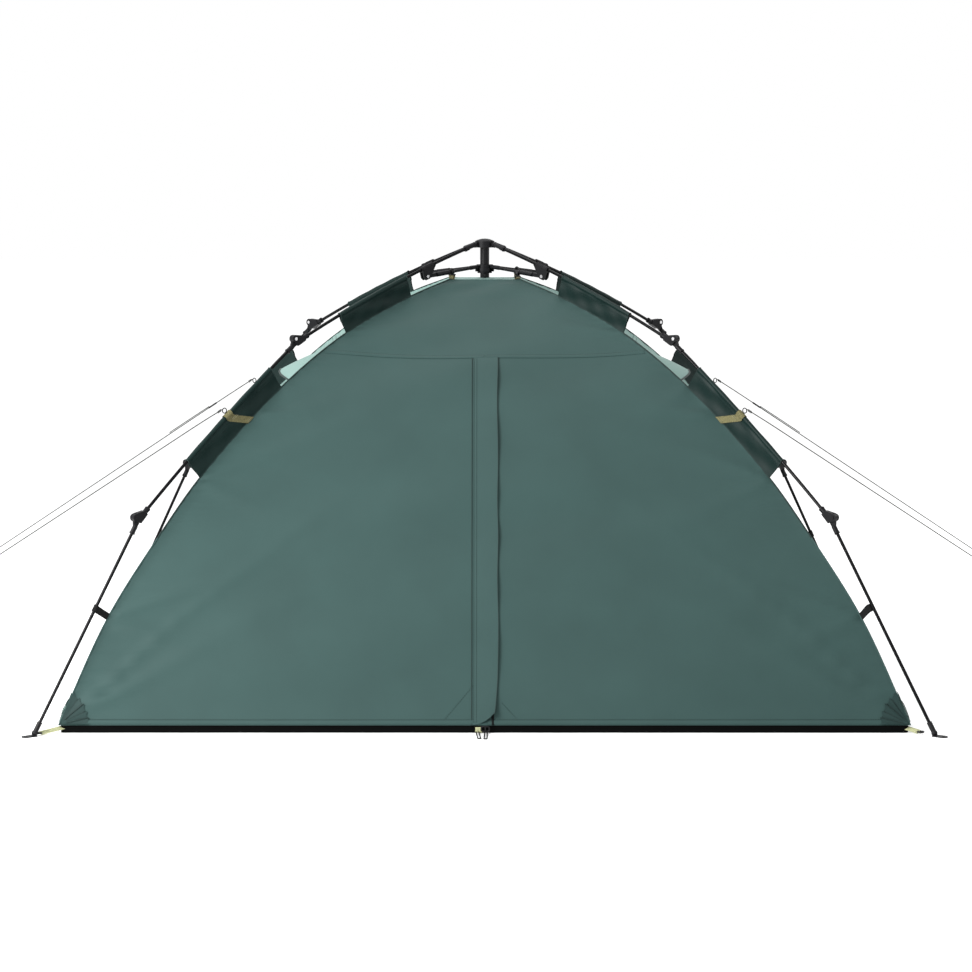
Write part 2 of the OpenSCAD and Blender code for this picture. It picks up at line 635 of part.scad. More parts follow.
module guy_line(i) {
    color("#4a4a44") mirror([i % 2, 0, 0]) guy_tube(i < 2 ? FRONT_GUY : REAR_GUY);
}

// what is on the lines: a ring at each far end, a slider on each rear line
module along(p, d) { translate(p) rotate([0, acos(d[2]), atan2(d[1], d[0])]) children(); }
slider = [30, 12, 5];
module line_end(route) {
    n = len(route);
    along(route[n - 1], unit(route[n - 1] - route[n - 2])) {
        cylinder(h = 10, r = guy_d / 2 + 1.6, $fn = 24);
        translate([0, 0, 18.5]) rotate([90, 0, 0]) rotate_extrude() translate([9, 0]) circle(2, $fn = 24);
    }
}
module line_fittings() {
    color("#3c3c3e") for (m = [0, 1]) mirror([m, 0, 0]) {
        line_end(FRONT_GUY);
        line_end(REAR_GUY);
        along((REAR_GUY[1] + REAR_GUY[2]) / 2, unit(REAR_GUY[2] - REAR_GUY[1])) difference() {
            translate([-slider[2] / 2, -slider[1] / 2, -slider[0] / 2]) cube([slider[2], slider[1], slider[0]]);
            cylinder(h = 60, d = guy_d + 0.6, center = true, $fn = 24);
            for (z = [-9, 9]) translate([0, 0, z]) rotate([0, 90, 0])
                cylinder(h = 20, d = 4.5, center = true, $fn = 24);
        }
    }
}

for (i = [0 : 3]) {
    upper_pole(i);
    arm_fittings(i);
    arm_pins(i);
    strut(i);
    middle_pole(i);
    middle_fittings(i);
    lower_pole(i);
    lower_knuckle(i);
    foot(i);
    guy_line(i);
}
hub_cap();
hub_pins();
centre_shaft();
roof_hook();
runner();
runner_pins();
front_panel();
rear_panel();
side_panels();
roof_panel();
groundsheet();
storm_flap();
pole_sleeves();
guy_straps();
elastic_straps();
corner_webbing();
roof_hangers();
vent_hoods();
door_tab();
line_fittings();
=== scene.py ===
"""A dome tent hung inside a jointed pole frame: cloth, webbing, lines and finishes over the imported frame."""

import json
import logging
import math
from dataclasses import dataclass, field
from enum import Enum
from typing import Any, Callable, Sequence

import bpy
import numpy as np
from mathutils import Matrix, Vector

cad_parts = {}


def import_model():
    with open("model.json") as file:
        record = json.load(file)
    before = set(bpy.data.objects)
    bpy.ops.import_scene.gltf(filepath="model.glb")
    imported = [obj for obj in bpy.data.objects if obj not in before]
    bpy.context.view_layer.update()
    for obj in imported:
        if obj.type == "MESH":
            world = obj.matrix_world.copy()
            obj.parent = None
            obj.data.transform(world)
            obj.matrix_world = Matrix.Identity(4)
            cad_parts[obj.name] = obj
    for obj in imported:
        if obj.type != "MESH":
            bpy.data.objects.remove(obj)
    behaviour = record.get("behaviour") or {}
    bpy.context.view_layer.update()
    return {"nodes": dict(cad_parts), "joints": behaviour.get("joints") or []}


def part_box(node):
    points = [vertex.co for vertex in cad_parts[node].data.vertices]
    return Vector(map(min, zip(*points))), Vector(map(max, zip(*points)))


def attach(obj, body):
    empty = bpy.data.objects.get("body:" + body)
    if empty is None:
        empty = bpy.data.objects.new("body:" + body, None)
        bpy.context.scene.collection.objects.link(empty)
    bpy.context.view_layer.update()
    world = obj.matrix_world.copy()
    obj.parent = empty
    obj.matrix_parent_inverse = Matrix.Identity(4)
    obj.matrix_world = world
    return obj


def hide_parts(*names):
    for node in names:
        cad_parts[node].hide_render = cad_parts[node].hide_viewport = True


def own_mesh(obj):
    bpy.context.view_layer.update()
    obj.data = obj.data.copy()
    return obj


LOG = logging.getLogger("tent")
Array = np.ndarray
UP = np.array([0, 0, 1.0])


class Band(Enum):
    """The stretch of cloth that follows one moving body of a leg."""

    ARM = "arm"
    MIDDLE = "middle"
    LOWER = "lower"


class Side(Enum):
    """A cloth panel, named by the way it faces, with the legs at its two seams."""

    FRONT = ("front_left", "front_right")
    RIGHT = ("front_right", "rear_right")
    REAR = ("rear_right", "rear_left")
    LEFT = ("rear_left", "front_left")


# ---------------------------------------------------------------- finishes


def socket(node: bpy.types.Node, name: str, value: Any) -> None:
    """Sets one input of a node to a constant."""
    node.inputs[name].default_value = value


def new_material(name: str) -> tuple[bpy.types.Material, bpy.types.Node]:
    """Starts a node material.

    Args:
        name: The material's name.

    Returns:
        The material and its Principled shader.
    """
    material = bpy.data.materials.new(name)
    material.use_nodes = True
    return material, material.node_tree.nodes["Principled BSDF"]


def tone_ramp(
    tree: bpy.types.NodeTree, source: bpy.types.NodeSocket, low: Sequence[float], high: Sequence[float]
) -> bpy.types.NodeSocket:
    """Turns a 0 to 1 field into a run between two colours.

    Args:
        tree: The material's node tree.
        source: The field.
        low: Colour at 0.3.
        high: Colour at 0.7.

    Returns:
        The ramp's colour output.
    """
    ramp = tree.nodes.new("ShaderNodeValToRGB")
    ramp.color_ramp.elements[0].position = 0.3
    ramp.color_ramp.elements[1].position = 0.7
    ramp.color_ramp.elements[0].color = (*low, 1)
    ramp.color_ramp.elements[1].color = (*high, 1)
    tree.links.new(source, ramp.inputs["Fac"])
    return ramp.outputs["Color"]


@dataclass(frozen=True)
class ClothFinish:
    """A woven cloth: colour that drifts, a fine weave, and a soft sheen."""

    name: str
    color: tuple[float, float, float]
    drift: float = 0.12
    threads_per_m: float = 1400.0
    weave_mm: float = 0.05
    crumple_mm: float = 0.5
    crumple_per_m: float = 22.0
    roughness: float = 0.62
    sheen: float = 0.04
    coat: float = 0.0
    specular: float = 0.22

    def make(self) -> bpy.types.Material:
        """Builds the node material.

        Returns:
            The material.
        """
        material, shader = new_material(self.name)
        tree = material.node_tree
        place = tree.nodes.new("ShaderNodeTexCoord")
        cloud = tree.nodes.new("ShaderNodeTexNoise")
        socket(cloud, "Scale", 5.0)
        socket(cloud, "Detail", 5.0)
        tree.links.new(place.outputs["Object"], cloud.inputs["Vector"])
        low = [c * (1 - self.drift) for c in self.color]
        high = [min(1.0, c * (1 + self.drift)) for c in self.color]
        tone = tone_ramp(tree, cloud.outputs["Fac"], low, high)
        tree.links.new(tone, shader.inputs["Base Color"])
        threads = []
        for direction in ("X", "Z"):
            wave = tree.nodes.new("ShaderNodeTexWave")
            wave.bands_direction = direction
            socket(wave, "Scale", self.threads_per_m * math.pi / 10)
            socket(wave, "Distortion", 0.4)
            tree.links.new(place.outputs["Object"], wave.inputs["Vector"])
            threads.append(wave)
        weave = tree.nodes.new("ShaderNodeMath")
        weave.operation = "MULTIPLY"
        tree.links.new(threads[0].outputs["Fac"], weave.inputs[0])
        tree.links.new(threads[1].outputs["Fac"], weave.inputs[1])
        fine = tree.nodes.new("ShaderNodeBump")
        socket(fine, "Distance", self.weave_mm / 1000)
        socket(fine, "Strength", 0.6)
        tree.links.new(weave.outputs[0], fine.inputs["Height"])
        crumple = tree.nodes.new("ShaderNodeTexNoise")
        socket(crumple, "Scale", self.crumple_per_m)
        socket(crumple, "Detail", 3.0)
        tree.links.new(place.outputs["Object"], crumple.inputs["Vector"])
        broad = tree.nodes.new("ShaderNodeBump")
        socket(broad, "Distance", self.crumple_mm / 1000)
        socket(broad, "Strength", 0.7)
        tree.links.new(crumple.outputs["Fac"], broad.inputs["Height"])
        tree.links.new(fine.outputs["Normal"], broad.inputs["Normal"])
        tree.links.new(broad.outputs["Normal"], shader.inputs["Normal"])
        socket(shader, "Roughness", self.roughness)
        socket(shader, "Sheen Weight", self.sheen)
        socket(shader, "Coat Weight", self.coat)
        socket(shader, "Coat Roughness", 0.35)
        socket(shader, "Specular IOR Level", self.specular)
        return material


@dataclass(frozen=True)
class WebbingFinish:
    """A ribbed woven tape."""

    name: str
    color: tuple[float, float, float]
    ribs_per_m: float = 700.0
    roughness: float = 0.8

    def make(self) -> bpy.types.Material:
        """Builds the node material.

        Returns:
            The material.
        """
        material, shader = new_material(self.name)
        tree = material.node_tree
        place = tree.nodes.new("ShaderNodeTexCoord")
        speck = tree.nodes.new("ShaderNodeTexNoise")
        socket(speck, "Scale", 260.0)
        tree.links.new(place.outputs["Object"], speck.inputs["Vector"])
        low = [c * 0.7 for c in self.color]
        high = [min(1, c * 1.3) for c in self.color]
        tone = tone_ramp(tree, speck.outputs["Fac"], low, high)
        tree.links.new(tone, shader.inputs["Base Color"])
        rib = tree.nodes.new("ShaderNodeTexWave")
        rib.bands_direction = "DIAGONAL"
        socket(rib, "Scale", self.ribs_per_m * math.pi / 10)
        tree.links.new(place.outputs["Object"], rib.inputs["Vector"])
        bump = tree.nodes.new("ShaderNodeBump")
        socket(bump, "Distance", 0.0003)
        tree.links.new(rib.outputs["Fac"], bump.inputs["Height"])
        tree.links.new(bump.outputs["Normal"], shader.inputs["Normal"])
        socket(shader, "Roughness", self.roughness)
        socket(shader, "Sheen Weight", 0.01)
        socket(shader, "Specular IOR Level", 0.2)
        return material


@dataclass(frozen=True)
class HardFinish:
    """Plastic or metal with a fine grain and rubbed tones."""

    name: str
    color: tuple[float, float, float]
    roughness: float
    metallic: float = 0.0
    grain_mm: float = 0.06
    grain_per_m: float = 900.0
    rub: float = 0.25
    coat: float = 0.0
    specular: float = 0.5

    def make(self) -> bpy.types.Material:
        """Builds the node material.

        Returns:
            The material.
        """
        material, shader = new_material(self.name)
        tree = material.node_tree
        place = tree.nodes.new("ShaderNodeTexCoord")
        smear = tree.nodes.new("ShaderNodeTexNoise")
        socket(smear, "Scale", 35.0)
        socket(smear, "Detail", 6.0)
        tree.links.new(place.outputs["Object"], smear.inputs["Vector"])
        low = [c * (1 - self.rub) for c in self.color]
        high = [min(1.0, c * (1 + self.rub)) for c in self.color]
        tree.links.new(tone_ramp(tree, smear.outputs["Fac"], low, high), shader.inputs["Base Color"])
        spread = tree.nodes.new("ShaderNodeMapRange")
        socket(spread, "To Min", max(0.05, self.roughness - 0.08))
        socket(spread, "To Max", min(1.0, self.roughness + 0.1))
        tree.links.new(smear.outputs["Fac"], spread.inputs["Value"])
        tree.links.new(spread.outputs["Result"], shader.inputs["Roughness"])
        grain = tree.nodes.new("ShaderNodeTexNoise")
        socket(grain, "Scale", self.grain_per_m)
        tree.links.new(place.outputs["Object"], grain.inputs["Vector"])
        bump = tree.nodes.new("ShaderNodeBump")
        socket(bump, "Distance", self.grain_mm / 1000)
        socket(bump, "Strength", 0.4)
        tree.links.new(grain.outputs["Fac"], bump.inputs["Height"])
        tree.links.new(bump.outputs["Normal"], shader.inputs["Normal"])
        socket(shader, "Metallic", self.metallic)
        socket(shader, "Specular IOR Level", self.specular)
        socket(shader, "Coat Weight", self.coat)
        socket(shader, "Coat Roughness", 0.12)
        return material


FINISHES: dict[str, Any] = {
    "fly": ClothFinish("fly_cloth", (0.0235, 0.0515, 0.0480), drift=0.06, specular=0.16),
    # Lit copy of the fly's own fabric for the side panels, roof and hoods: painted light, made lighter than
    # the fly to stand for the top and key lights.
    "fly_light": ClothFinish("fly_light_cloth", (0.160, 0.256, 0.232), drift=0.05, specular=0.16),
    "flap": ClothFinish("flap_cloth", (0.0250, 0.0540, 0.0505), drift=0.06, crumple_mm=0.9, specular=0.18),
    "patch": ClothFinish("patch_cloth", (0.0125, 0.0300, 0.0280), crumple_mm=0.4, specular=0.16),
    "sleeve": ClothFinish(
        "sleeve_cloth", (0.0030, 0.0118, 0.0104), crumple_mm=0.8, crumple_per_m=26.0,
        roughness=0.5, specular=0.14, sheen=0.01,
    ),
    "tub": ClothFinish(
        "tub_cloth", (0.0014, 0.0016, 0.0016), crumple_mm=1.0, roughness=0.6, specular=0.03, sheen=0.0
    ),
    "khaki_strap": WebbingFinish("khaki_webbing", (0.118, 0.108, 0.050)),
    "pale_webbing": WebbingFinish("pale_khaki_webbing", (0.36, 0.37, 0.21)),
    "elastic": WebbingFinish("black_elastic", (0.0022, 0.0022, 0.0022), ribs_per_m=1100.0, roughness=0.8),
    "guy_line": WebbingFinish("braided_line", (0.042, 0.044, 0.040), ribs_per_m=1500.0),
    "pole": HardFinish("black_pole", (0.0015, 0.0015, 0.002), 0.24, coat=0.03, grain_mm=0.015, specular=0.1),
    "strut": HardFinish("strut_black", (0.005, 0.005, 0.006), 0.32, coat=0.03, grain_mm=0.02, specular=0.14),
    "shaft": HardFinish("shaft_black", (0.003, 0.003, 0.0035), 0.3, coat=0.05, grain_mm=0.02, specular=0.16),
    "fitting": HardFinish("moulded_grey", (0.0055, 0.0055, 0.0065), 0.42, specular=0.13),
    "foot": HardFinish("moulded_foot", (0.007, 0.007, 0.008), 0.45, specular=0.16),
    "pin": HardFinish("bright_rivet", (0.72, 0.72, 0.73), 0.25, metallic=1.0, grain_mm=0.01, rub=0.08),
    "buckle": HardFinish("black_buckle", (0.004, 0.004, 0.0045), 0.4, specular=0.22),
    "thread": HardFinish("seam_thread", (0.010, 0.022, 0.020), 0.7, rub=0.1, specular=0.2),
    "pale_thread": HardFinish("pale_thread", (0.26, 0.26, 0.17), 0.75, rub=0.1, specular=0.2),
    "piping": ClothFinish("piping_cloth", (0.006, 0.018, 0.016), crumple_mm=0.2),
    "zip": HardFinish("zip_teeth", (0.003, 0.004, 0.004), 0.5, specular=0.06),
}


class Paint:
    """Hands out each finish's material, made once."""

    def __init__(self) -> None:
        """Starts with nothing made."""
        self.made: dict[str, bpy.types.Material] = {}

    def of(self, key: str) -> bpy.types.Material:
        """The material of one finish."""
        if key not in self.made:
            self.made[key] = FINISHES[key].make()
        return self.made[key]

    def dress(self, piece: bpy.types.Object, key: str, record_slot: str | None = None) -> bpy.types.Object:
        """Gives a piece one finish.

        Args:
            piece: The piece.
            key: A key of FINISHES.
            record_slot: Not used.

        Returns:
            The piece.
        """
        piece.data.materials.clear()
        piece.data.materials.append(self.of(key))
        return piece


# ---------------------------------------------------------------- mesh work


def unit(vectors: Array) -> Array:
    """Vectors of length one, along the last axis."""
    return vectors / np.maximum(np.linalg.norm(vectors, axis=-1, keepdims=True), 1e-12)


def piece_of(name: str, points: Any, faces: Sequence[Sequence[int]], smooth: bool = True) -> bpy.types.Object:
    """Makes a mesh object from points and faces.

    Args:
        name: The object's name.
        points: Points in the row frame.
        faces: Index lists.
        smooth: Whether its faces are shaded smooth below 40 degrees.

    Returns:
        The object, linked to the scene.
    """
    mesh = bpy.data.meshes.new(name)
    mesh.from_pydata([tuple(map(float, p)) for p in points], [], [list(f) for f in faces])
    mesh.validate()
    piece = bpy.data.objects.new(name, mesh)
    bpy.context.scene.collection.objects.link(piece)
    if smooth:
        mesh.polygons.foreach_set("use_smooth", [True] * len(mesh.polygons))
        mesh.set_sharp_from_angle(angle=math.radians(40))
    return piece


def shell(name: str, grid: Array, normals: Array, thickness: float) -> bpy.types.Object:
    """Makes a closed thin cloth from a grid of points, shaded by the normals given.

    Args:
        name: The object's name.
        grid: Rows and columns of points on the outer face.
        normals: The outer face's normals.
        thickness: How far the inner face lies behind.

    Returns:
        The cloth.
    """
    rows, columns = grid.shape[:2]
    outer = grid.reshape(-1, 3)
    inner = (grid - normals * thickness).reshape(-1, 3)
    count = rows * columns
    index = np.arange(count).reshape(rows, columns)
    a, b, c, d = index[:-1, :-1], index[:-1, 1:], index[1:, 1:], index[1:, :-1]
    quads = np.stack([a, b, c, d], -1).reshape(-1, 4)
    middle = quads[len(quads) // 2]
    turn = np.cross(outer[middle[1]] - outer[middle[0]], outer[middle[3]] - outer[middle[0]])
    if turn @ normals.reshape(-1, 3)[middle[0]] < 0:
        quads = quads[:, ::-1]
    rim = np.concatenate([index[0, :], index[1:, -1], index[-1, -2::-1], index[-2:0:-1, 0]])
    after = np.roll(rim, -1)
    edges = np.stack([rim, after, after + count, rim + count], -1)
    faces = np.concatenate([quads, quads[:, ::-1] + count, edges])
    piece = piece_of(name, np.concatenate([outer, inner]), faces.tolist(), smooth=False)
    mesh = piece.data
    if len(mesh.vertices) == 2 * count:
        mesh.polygons.foreach_set("use_smooth", [True] * len(mesh.polygons))
        flat = normals.reshape(-1, 3)
        mesh.normals_split_custom_set_from_vertices(np.concatenate([flat, -flat]).tolist())
    return piece


def frames_along(points: Array, up: Array) -> tuple[Array, Array, Array]:
    """Directions along a path: forward, sideways and up.

    Args:
        points: The path.
        up: A direction, or one for each point, that the frames' up leans to.

    Returns:
        Forward, sideways and up, one row for each point.
    """
    forward = unit(np.gradient(points, axis=0))
    up = np.broadcast_to(up, points.shape)
    sideways = unit(np.cross(forward, up))
    return forward, sideways, unit(np.cross(sideways, forward))


def sweep(name: str, points: Array, outline: Array, up: Array, closed: bool = False) -> bpy.types.Object:
    """Sweeps a closed outline along a path.

    Args:
        name: The object's name.
        points: The path.
        outline: The outline's points: sideways, up.
        up: Direction or directions that the outline's up leans to.
        closed: Whether the path returns to its start.

    Returns:
        The swept piece.
    """
    if closed:
        padded = np.concatenate([points[-1:], points, points[:1]])
        forward = unit(padded[2:] - padded[:-2])
        up_all = np.broadcast_to(up, points.shape)
        side = unit(np.cross(forward, up_all))
        rise = unit(np.cross(side, forward))
    else:
        _, side, rise = frames_along(points, up)
    n, m = len(points), len(outline)
    verts = points[:, None] + side[:, None] * outline[None, :, :1] + rise[:, None] * outline[None, :, 1:]
    faces = []
    for i in range(n if closed else n - 1):
        j = (i + 1) % n
        for k in range(m):
            k2 = (k + 1) % m
            faces.append([i * m + k, i * m + k2, j * m + k2, j * m + k])
    if not closed:
        faces.append(list(range(m))[::-1])
        faces.append([(n - 1) * m + k for k in range(m)])
    return piece_of(name, verts.reshape(-1, 3), faces)


def round_outline(radius: float, sides: int = 12, flat: float = 1.0) -> Array:
    """A circle's points, or an ellipse's when flat isn't one."""
    angle = np.linspace(0, 2 * math.pi, sides, endpoint=False)
    return np.stack([radius * np.cos(angle), radius * flat * np.sin(angle)], -1)


def tape_outline(width: float, thickness: float) -> Array:
    """A webbing's cross-section, its edges rounded over."""
    w, t = width / 2, thickness / 2
    e = thickness * 0.45
    right = [(w - e, -t), (w, -t * 0.3), (w, t * 0.3), (w - e, t)]
    left = [(-w + e, t), (-w, t * 0.3), (-w, -t * 0.3)]
    return np.array([(-w + e, -t), *right, *left])


def joined(name: str, parts: Sequence[bpy.types.Object]) -> bpy.types.Object:
    """Joins pieces of one finish into one object.

    Args:
        name: The result's name.
        parts: The pieces, which are used up.

    Returns:
        The joined piece.
    """
    verts: list[tuple[float, float, float]] = []
    faces: list[list[int]] = []
    for part in parts:
        start = len(verts)
        verts += [tuple(v.co) for v in part.data.vertices]
        faces += [[start + i for i in p.vertices] for p in part.data.polygons]
        bpy.data.objects.remove(part)
    return piece_of(name, verts, faces)


def spline(points: Array, count: int) -> Array:
    """A smooth line through points, evenly stepped between each pair.

    Args:
        points: The points to pass.
        count: Steps between each pair.

    Returns:
        The line's points.
    """
    p = np.concatenate([2 * points[:1] - points[1:2], points, 2 * points[-1:] - points[-2:-1]])
    out = []
    for i in range(1, len(p) - 2):
        for t in np.arange(count) / count:
            bend = 2 * p[i - 1] - 5 * p[i] + 4 * p[i + 1] - p[i + 2]
            twist = 3 * p[i] - p[i - 1] - 3 * p[i + 1] + p[i + 2]
            out.append(0.5 * (2 * p[i] + (p[i + 1] - p[i - 1]) * t + bend * t * t + twist * t**3))
    out.append(points[-1])
    return np.array(out)


def along_path(distance: float, run: Array, values: Array) -> Array:
    """A path's value at a distance along it."""
    return np.array([np.interp(distance, run, values[:, k]) for k in range(3)])


def stitch_row(
    name: str,
    points: Array,
    normals: Array,
    pitch: float = 0.007,
    length: float = 0.004,
    size: float = 0.0007,
) -> bpy.types.Object:
    """A row of separate stitches lying on a surface.

    Args:
        name: The object's name.
        points: The row's path, on the surface.
        normals: The surface's normals there.
        pitch: From stitch to stitch.
        length: Of one stitch.
        size: A stitch's thickness.

    Returns:
        The stitches, as one piece.
    """
    steps = np.linalg.norm(np.diff(points, axis=0), axis=1)
    run = np.concatenate([[0], np.cumsum(steps)])
    verts: list[Array] = []
    faces: list[list[int]] = []
    for start in np.arange(pitch / 2, run[-1] - length, pitch):
        ends = [along_path(s, run, points) for s in (start, start + length)]
        n = unit(along_path(start, run, normals))
        along = unit(ends[1] - ends[0])
        side = unit(np.cross(along, n)) * size
        lift = n * size
        base = len(verts)
        mid = (ends[0] + ends[1]) / 2 + lift * 0.6
        for centre, scale in ((ends[0], 0.5), (mid, 1.0), (ends[1], 0.5)):
            verts += [centre - side * scale, centre + lift * scale]
            verts += [centre + side * scale, centre - lift * scale]
        for k in (0, 4):
            for j in range(4):
                j2 = (j + 1) % 4
                faces.append([base + k + j, base + k + j2, base + k + 4 + j2, base + k + 4 + j])
        faces.append([base + 3, base + 2, base + 1, base])
        faces.append([base + 8, base + 9, base + 10, base + 11])
    return piece_of(name, verts, faces, smooth=False)


def fine_stitches(name: str, points: Array, normals: Array) -> bpy.types.Object:
    """A row of the thin stitches that hold the cloth's own seams."""
    return stitch_row(name, points, normals, size=0.0006)


def tape_builder(outline: Array) -> Callable[[str, Array, Array], bpy.types.Object]:
    """A maker of tapes with that cross-section.

    Args:
        outline: The cross-section.

    Returns:
        A function from a name, a path and its normals to the tape.
    """

    def build(name: str, points: Array, normals: Array) -> bpy.types.Object:
        """Sweeps the cross-section along the path."""
        return sweep(name, points, outline, normals)

    return build


def bar_tack(name: str, line: Array, normal: Array) -> bpy.types.Object:
    """A dense row of short stitches across a tape.

    Args:
        name: The piece's name.
        line: The row's path.
        normal: The tape's face.

    Returns:
        The stitches.
    """
    normals = np.broadcast_to(normal, line.shape)
    return stitch_row(name, line, normals, pitch=0.0022, length=0.0016, size=0.0005)


# ---------------------------------------------------------------- the legs


@dataclass
class Leg:
    """One leg's upright plane, its bowed poles and the canopy's seam in it."""

    name: str
    joints: dict[str, Any]
    pole_radius: float = 0.00475
    pin_offset: float = 0.014
    arm_offset: float = 0.006
    arm_bow: float = 0.015
    middle_bow: float = 0.010
    upper_sleeve: tuple[float, float] = (0.40, 0.76)
    lower_sleeve: tuple[float, float] = (0.165, 0.685)
    turn: float = 0.0
    rows: Array = field(default_factory=lambda: np.zeros((0, 2)))

    def __post_init__(self) -> None:
        """Reads the pins from the joints and works out the bowed poles."""
        hinges = ("arm_fold", "upper_elbow", "lower_elbow")
        pin = {k: Vector(self.joints[f"{self.name}_{k}"]["pos_m"]) for k in hinges}
        self.turn = math.atan2(pin["upper_elbow"].y, pin["upper_elbow"].x)
        flat = {k: np.array([math.hypot(p.x, p.y), p.z]) for k, p in pin.items()}
        hub, elbow, low = flat["arm_fold"], flat["upper_elbow"], flat["lower_elbow"]
        arm_out = self._outward(elbow - hub)
        middle_out = self._outward(low - elbow)
        arm_start, arm_end = hub + self.arm_offset * arm_out, elbow - self.pin_offset * arm_out
        self.arm = self._bowed(arm_start, arm_end, self.arm_bow)
        middle_drop = self.pin_offset * middle_out
        self.middle = self._bowed(elbow - middle_drop, low - middle_drop, self.middle_bow)
        foot_low, foot_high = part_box(f"{self.name}_foot")
        ball = 0.009
        reach = max(math.hypot(foot_low.x, foot_low.y), math.hypot(foot_high.x, foot_high.y))
        self.foot = np.array([reach - 0.046, ball])
        low_out = self._outward(self.foot - low)
        self.lower_top = low - self.pin_offset * low_out

    @staticmethod
    def _outward(run: Array) -> Array:
        """The outer side of a pole that runs that way in the leg's plane."""
        run = run / np.linalg.norm(run)
        return np.array([-run[1], run[0]])

    @staticmethod
    def _bowed(p: Array, q: Array, bow: float) -> Callable[[Array], tuple[Array, Array]]:
        """An arc from p to q that stands bow proud.

        Args:
            p: Start, outward and up.
            q: End.
            bow: How far the middle stands out.

        Returns:
            A function from shares of the arc to points and outward normals.
        """
        chord = np.linalg.norm(q - p)
        radius = chord**2 / (8 * bow) + bow / 2
        ahead = (q - p) / chord
        normal = np.array([-ahead[1], ahead[0]])
        centre = (p + q) / 2 - normal * (radius - bow)
        start, end = (math.atan2(*(x - centre)[::-1]) for x in (p, q))

        def on(share: Array) -> tuple[Array, Array]:
            """Points and normals at shares of the arc."""
            angle = start + (end - start) * np.asarray(share, float)
            out = np.stack([np.cos(angle), np.sin(angle)], -1)
            return centre + radius * out, out

        return on

    def lower(self, share: Array) -> tuple[Array, Array]:
        """Points and outward normals along the straight lower pole."""
        share = np.asarray(share, float)[..., None]
        out = self._outward(self.foot - self.lower_top)
        spots = self.lower_top + (self.foot - self.lower_top) * share
        return spots, np.broadcast_to(out, share.shape[:-1] + (2,))

    def world(self, plane: Array, across: Any = 0.0) -> Array:
        """Points of the leg's plane, moved across it, in the row frame.

        Args:
            plane: Outward and up.
            across: Along the leg's hinge axes.

        Returns:
            Points in the row frame.
        """
        plane = np.asarray(plane, float)
        across = np.broadcast_to(across, plane.shape[:-1])
        c, s = math.cos(self.turn), math.sin(self.turn)
        r, z = plane[..., 0], plane[..., 1]
        return np.stack([r * c - across * s, r * s + across * c, z], -1)

    def aim(self, plane: Array) -> Array:
        """A direction of the leg's plane in the row frame."""
        plane = np.asarray(plane, float)
        c, s = math.cos(self.turn), math.sin(self.turn)
        return np.stack([plane[..., 0] * c, plane[..., 0] * s, plane[..., 1]], -1)

    @property
    def across(self) -> Array:
        """The direction of the leg's hinge axes."""
        return np.array([-math.sin(self.turn), math.cos(self.turn), 0.0])

    def seam(self, v: Any) -> Array:
        """The seam at a row counted from the roof.

        Args:
            v: The row or rows.

        Returns:
            Outward and up.
        """
        v = np.clip(np.asarray(v, float), 0, len(self.rows) - 1)
        before, after = 2 * self.rows[:1] - self.rows[1:2], 2 * self.rows[-1:] - self.rows[-2:-1]
        p = np.concatenate([before, self.rows, after])
        i = np.minimum(v.astype(int), len(self.rows) - 2)
        t = (v - i)[..., None]
        a, b, c, d = p[i], p[i + 1], p[i + 2], p[i + 3]
        chord = np.linalg.norm(c - b, axis=-1, keepdims=True)
        arriving = (b - a) / np.maximum(np.linalg.norm(b - a, axis=-1, keepdims=True), 1e-9)
        leaving = (d - c) / np.maximum(np.linalg.norm(d - c, axis=-1, keepdims=True), 1e-9)
        m1 = chord * (arriving + (c - b) / chord) / 2
        m2 = chord * ((c - b) / chord + leaving) / 2
        start = (2 * t**3 - 3 * t**2 + 1) * b + (t**3 - 2 * t**2 + t) * m1
        return start + (3 * t**2 - 2 * t**3) * c + (t**3 - t**2) * m2


def seam_rows(node: bpy.types.Object) -> Array:
    """The canopy's seam, read from a panel's own solid.

    Args:
        node: The front panel's CAD node.

    Returns:
        Outward and up for each row, from the roof down.
    """
    found: list[tuple[float, float]] = []
    for vertex in node.data.vertices:
        if vertex.co.x < 0:
            spot = (math.hypot(vertex.co.x, vertex.co.y), vertex.co.z)
            if all(math.dist(spot, other) > 1e-5 for other in found):
                found.append(spot)
    found.sort(key=lambda p: p[0])
    rows = []
    for k in range(0, len(found), 2):
        rows.append(max(found[k : k + 2], key=lambda p: p[0] + p[1]))
    return np.array(rows)


LAST_ROW = 7
# a drawn fold: the row it starts at on the seam, how fast it falls, its height and its width
FOLDS = (
    (3.30, 0.25, 0.005, 0.03),
    (3.36, -0.6, 0.004, 0.03),
    (1.0, 0.9, 0.004, 0.05),
    (2.0, -0.7, 0.004, 0.05),
    (3.0, 1.1, 0.005, 0.06),
    (4.0, -1.4, 0.006, 0.06),
    (4.05, 1.6, 0.004, 0.05),
    (6.0, 1.3, 0.006, 0.05),
    (6.0, -1.9, 0.005, 0.06),
    (7.0, -2.6, 0.006, 0.05),
    (7.0, -5.2, 0.005, 0.07),
)
BANDS: dict[Band, tuple[float, float]] = {
    Band.ARM: (0.0, 2.5),
    Band.MIDDLE: (2.5, 5.0),
    Band.LOWER: (5.0, 7.0),
}


# ---------------------------------------------------------------- the canopy


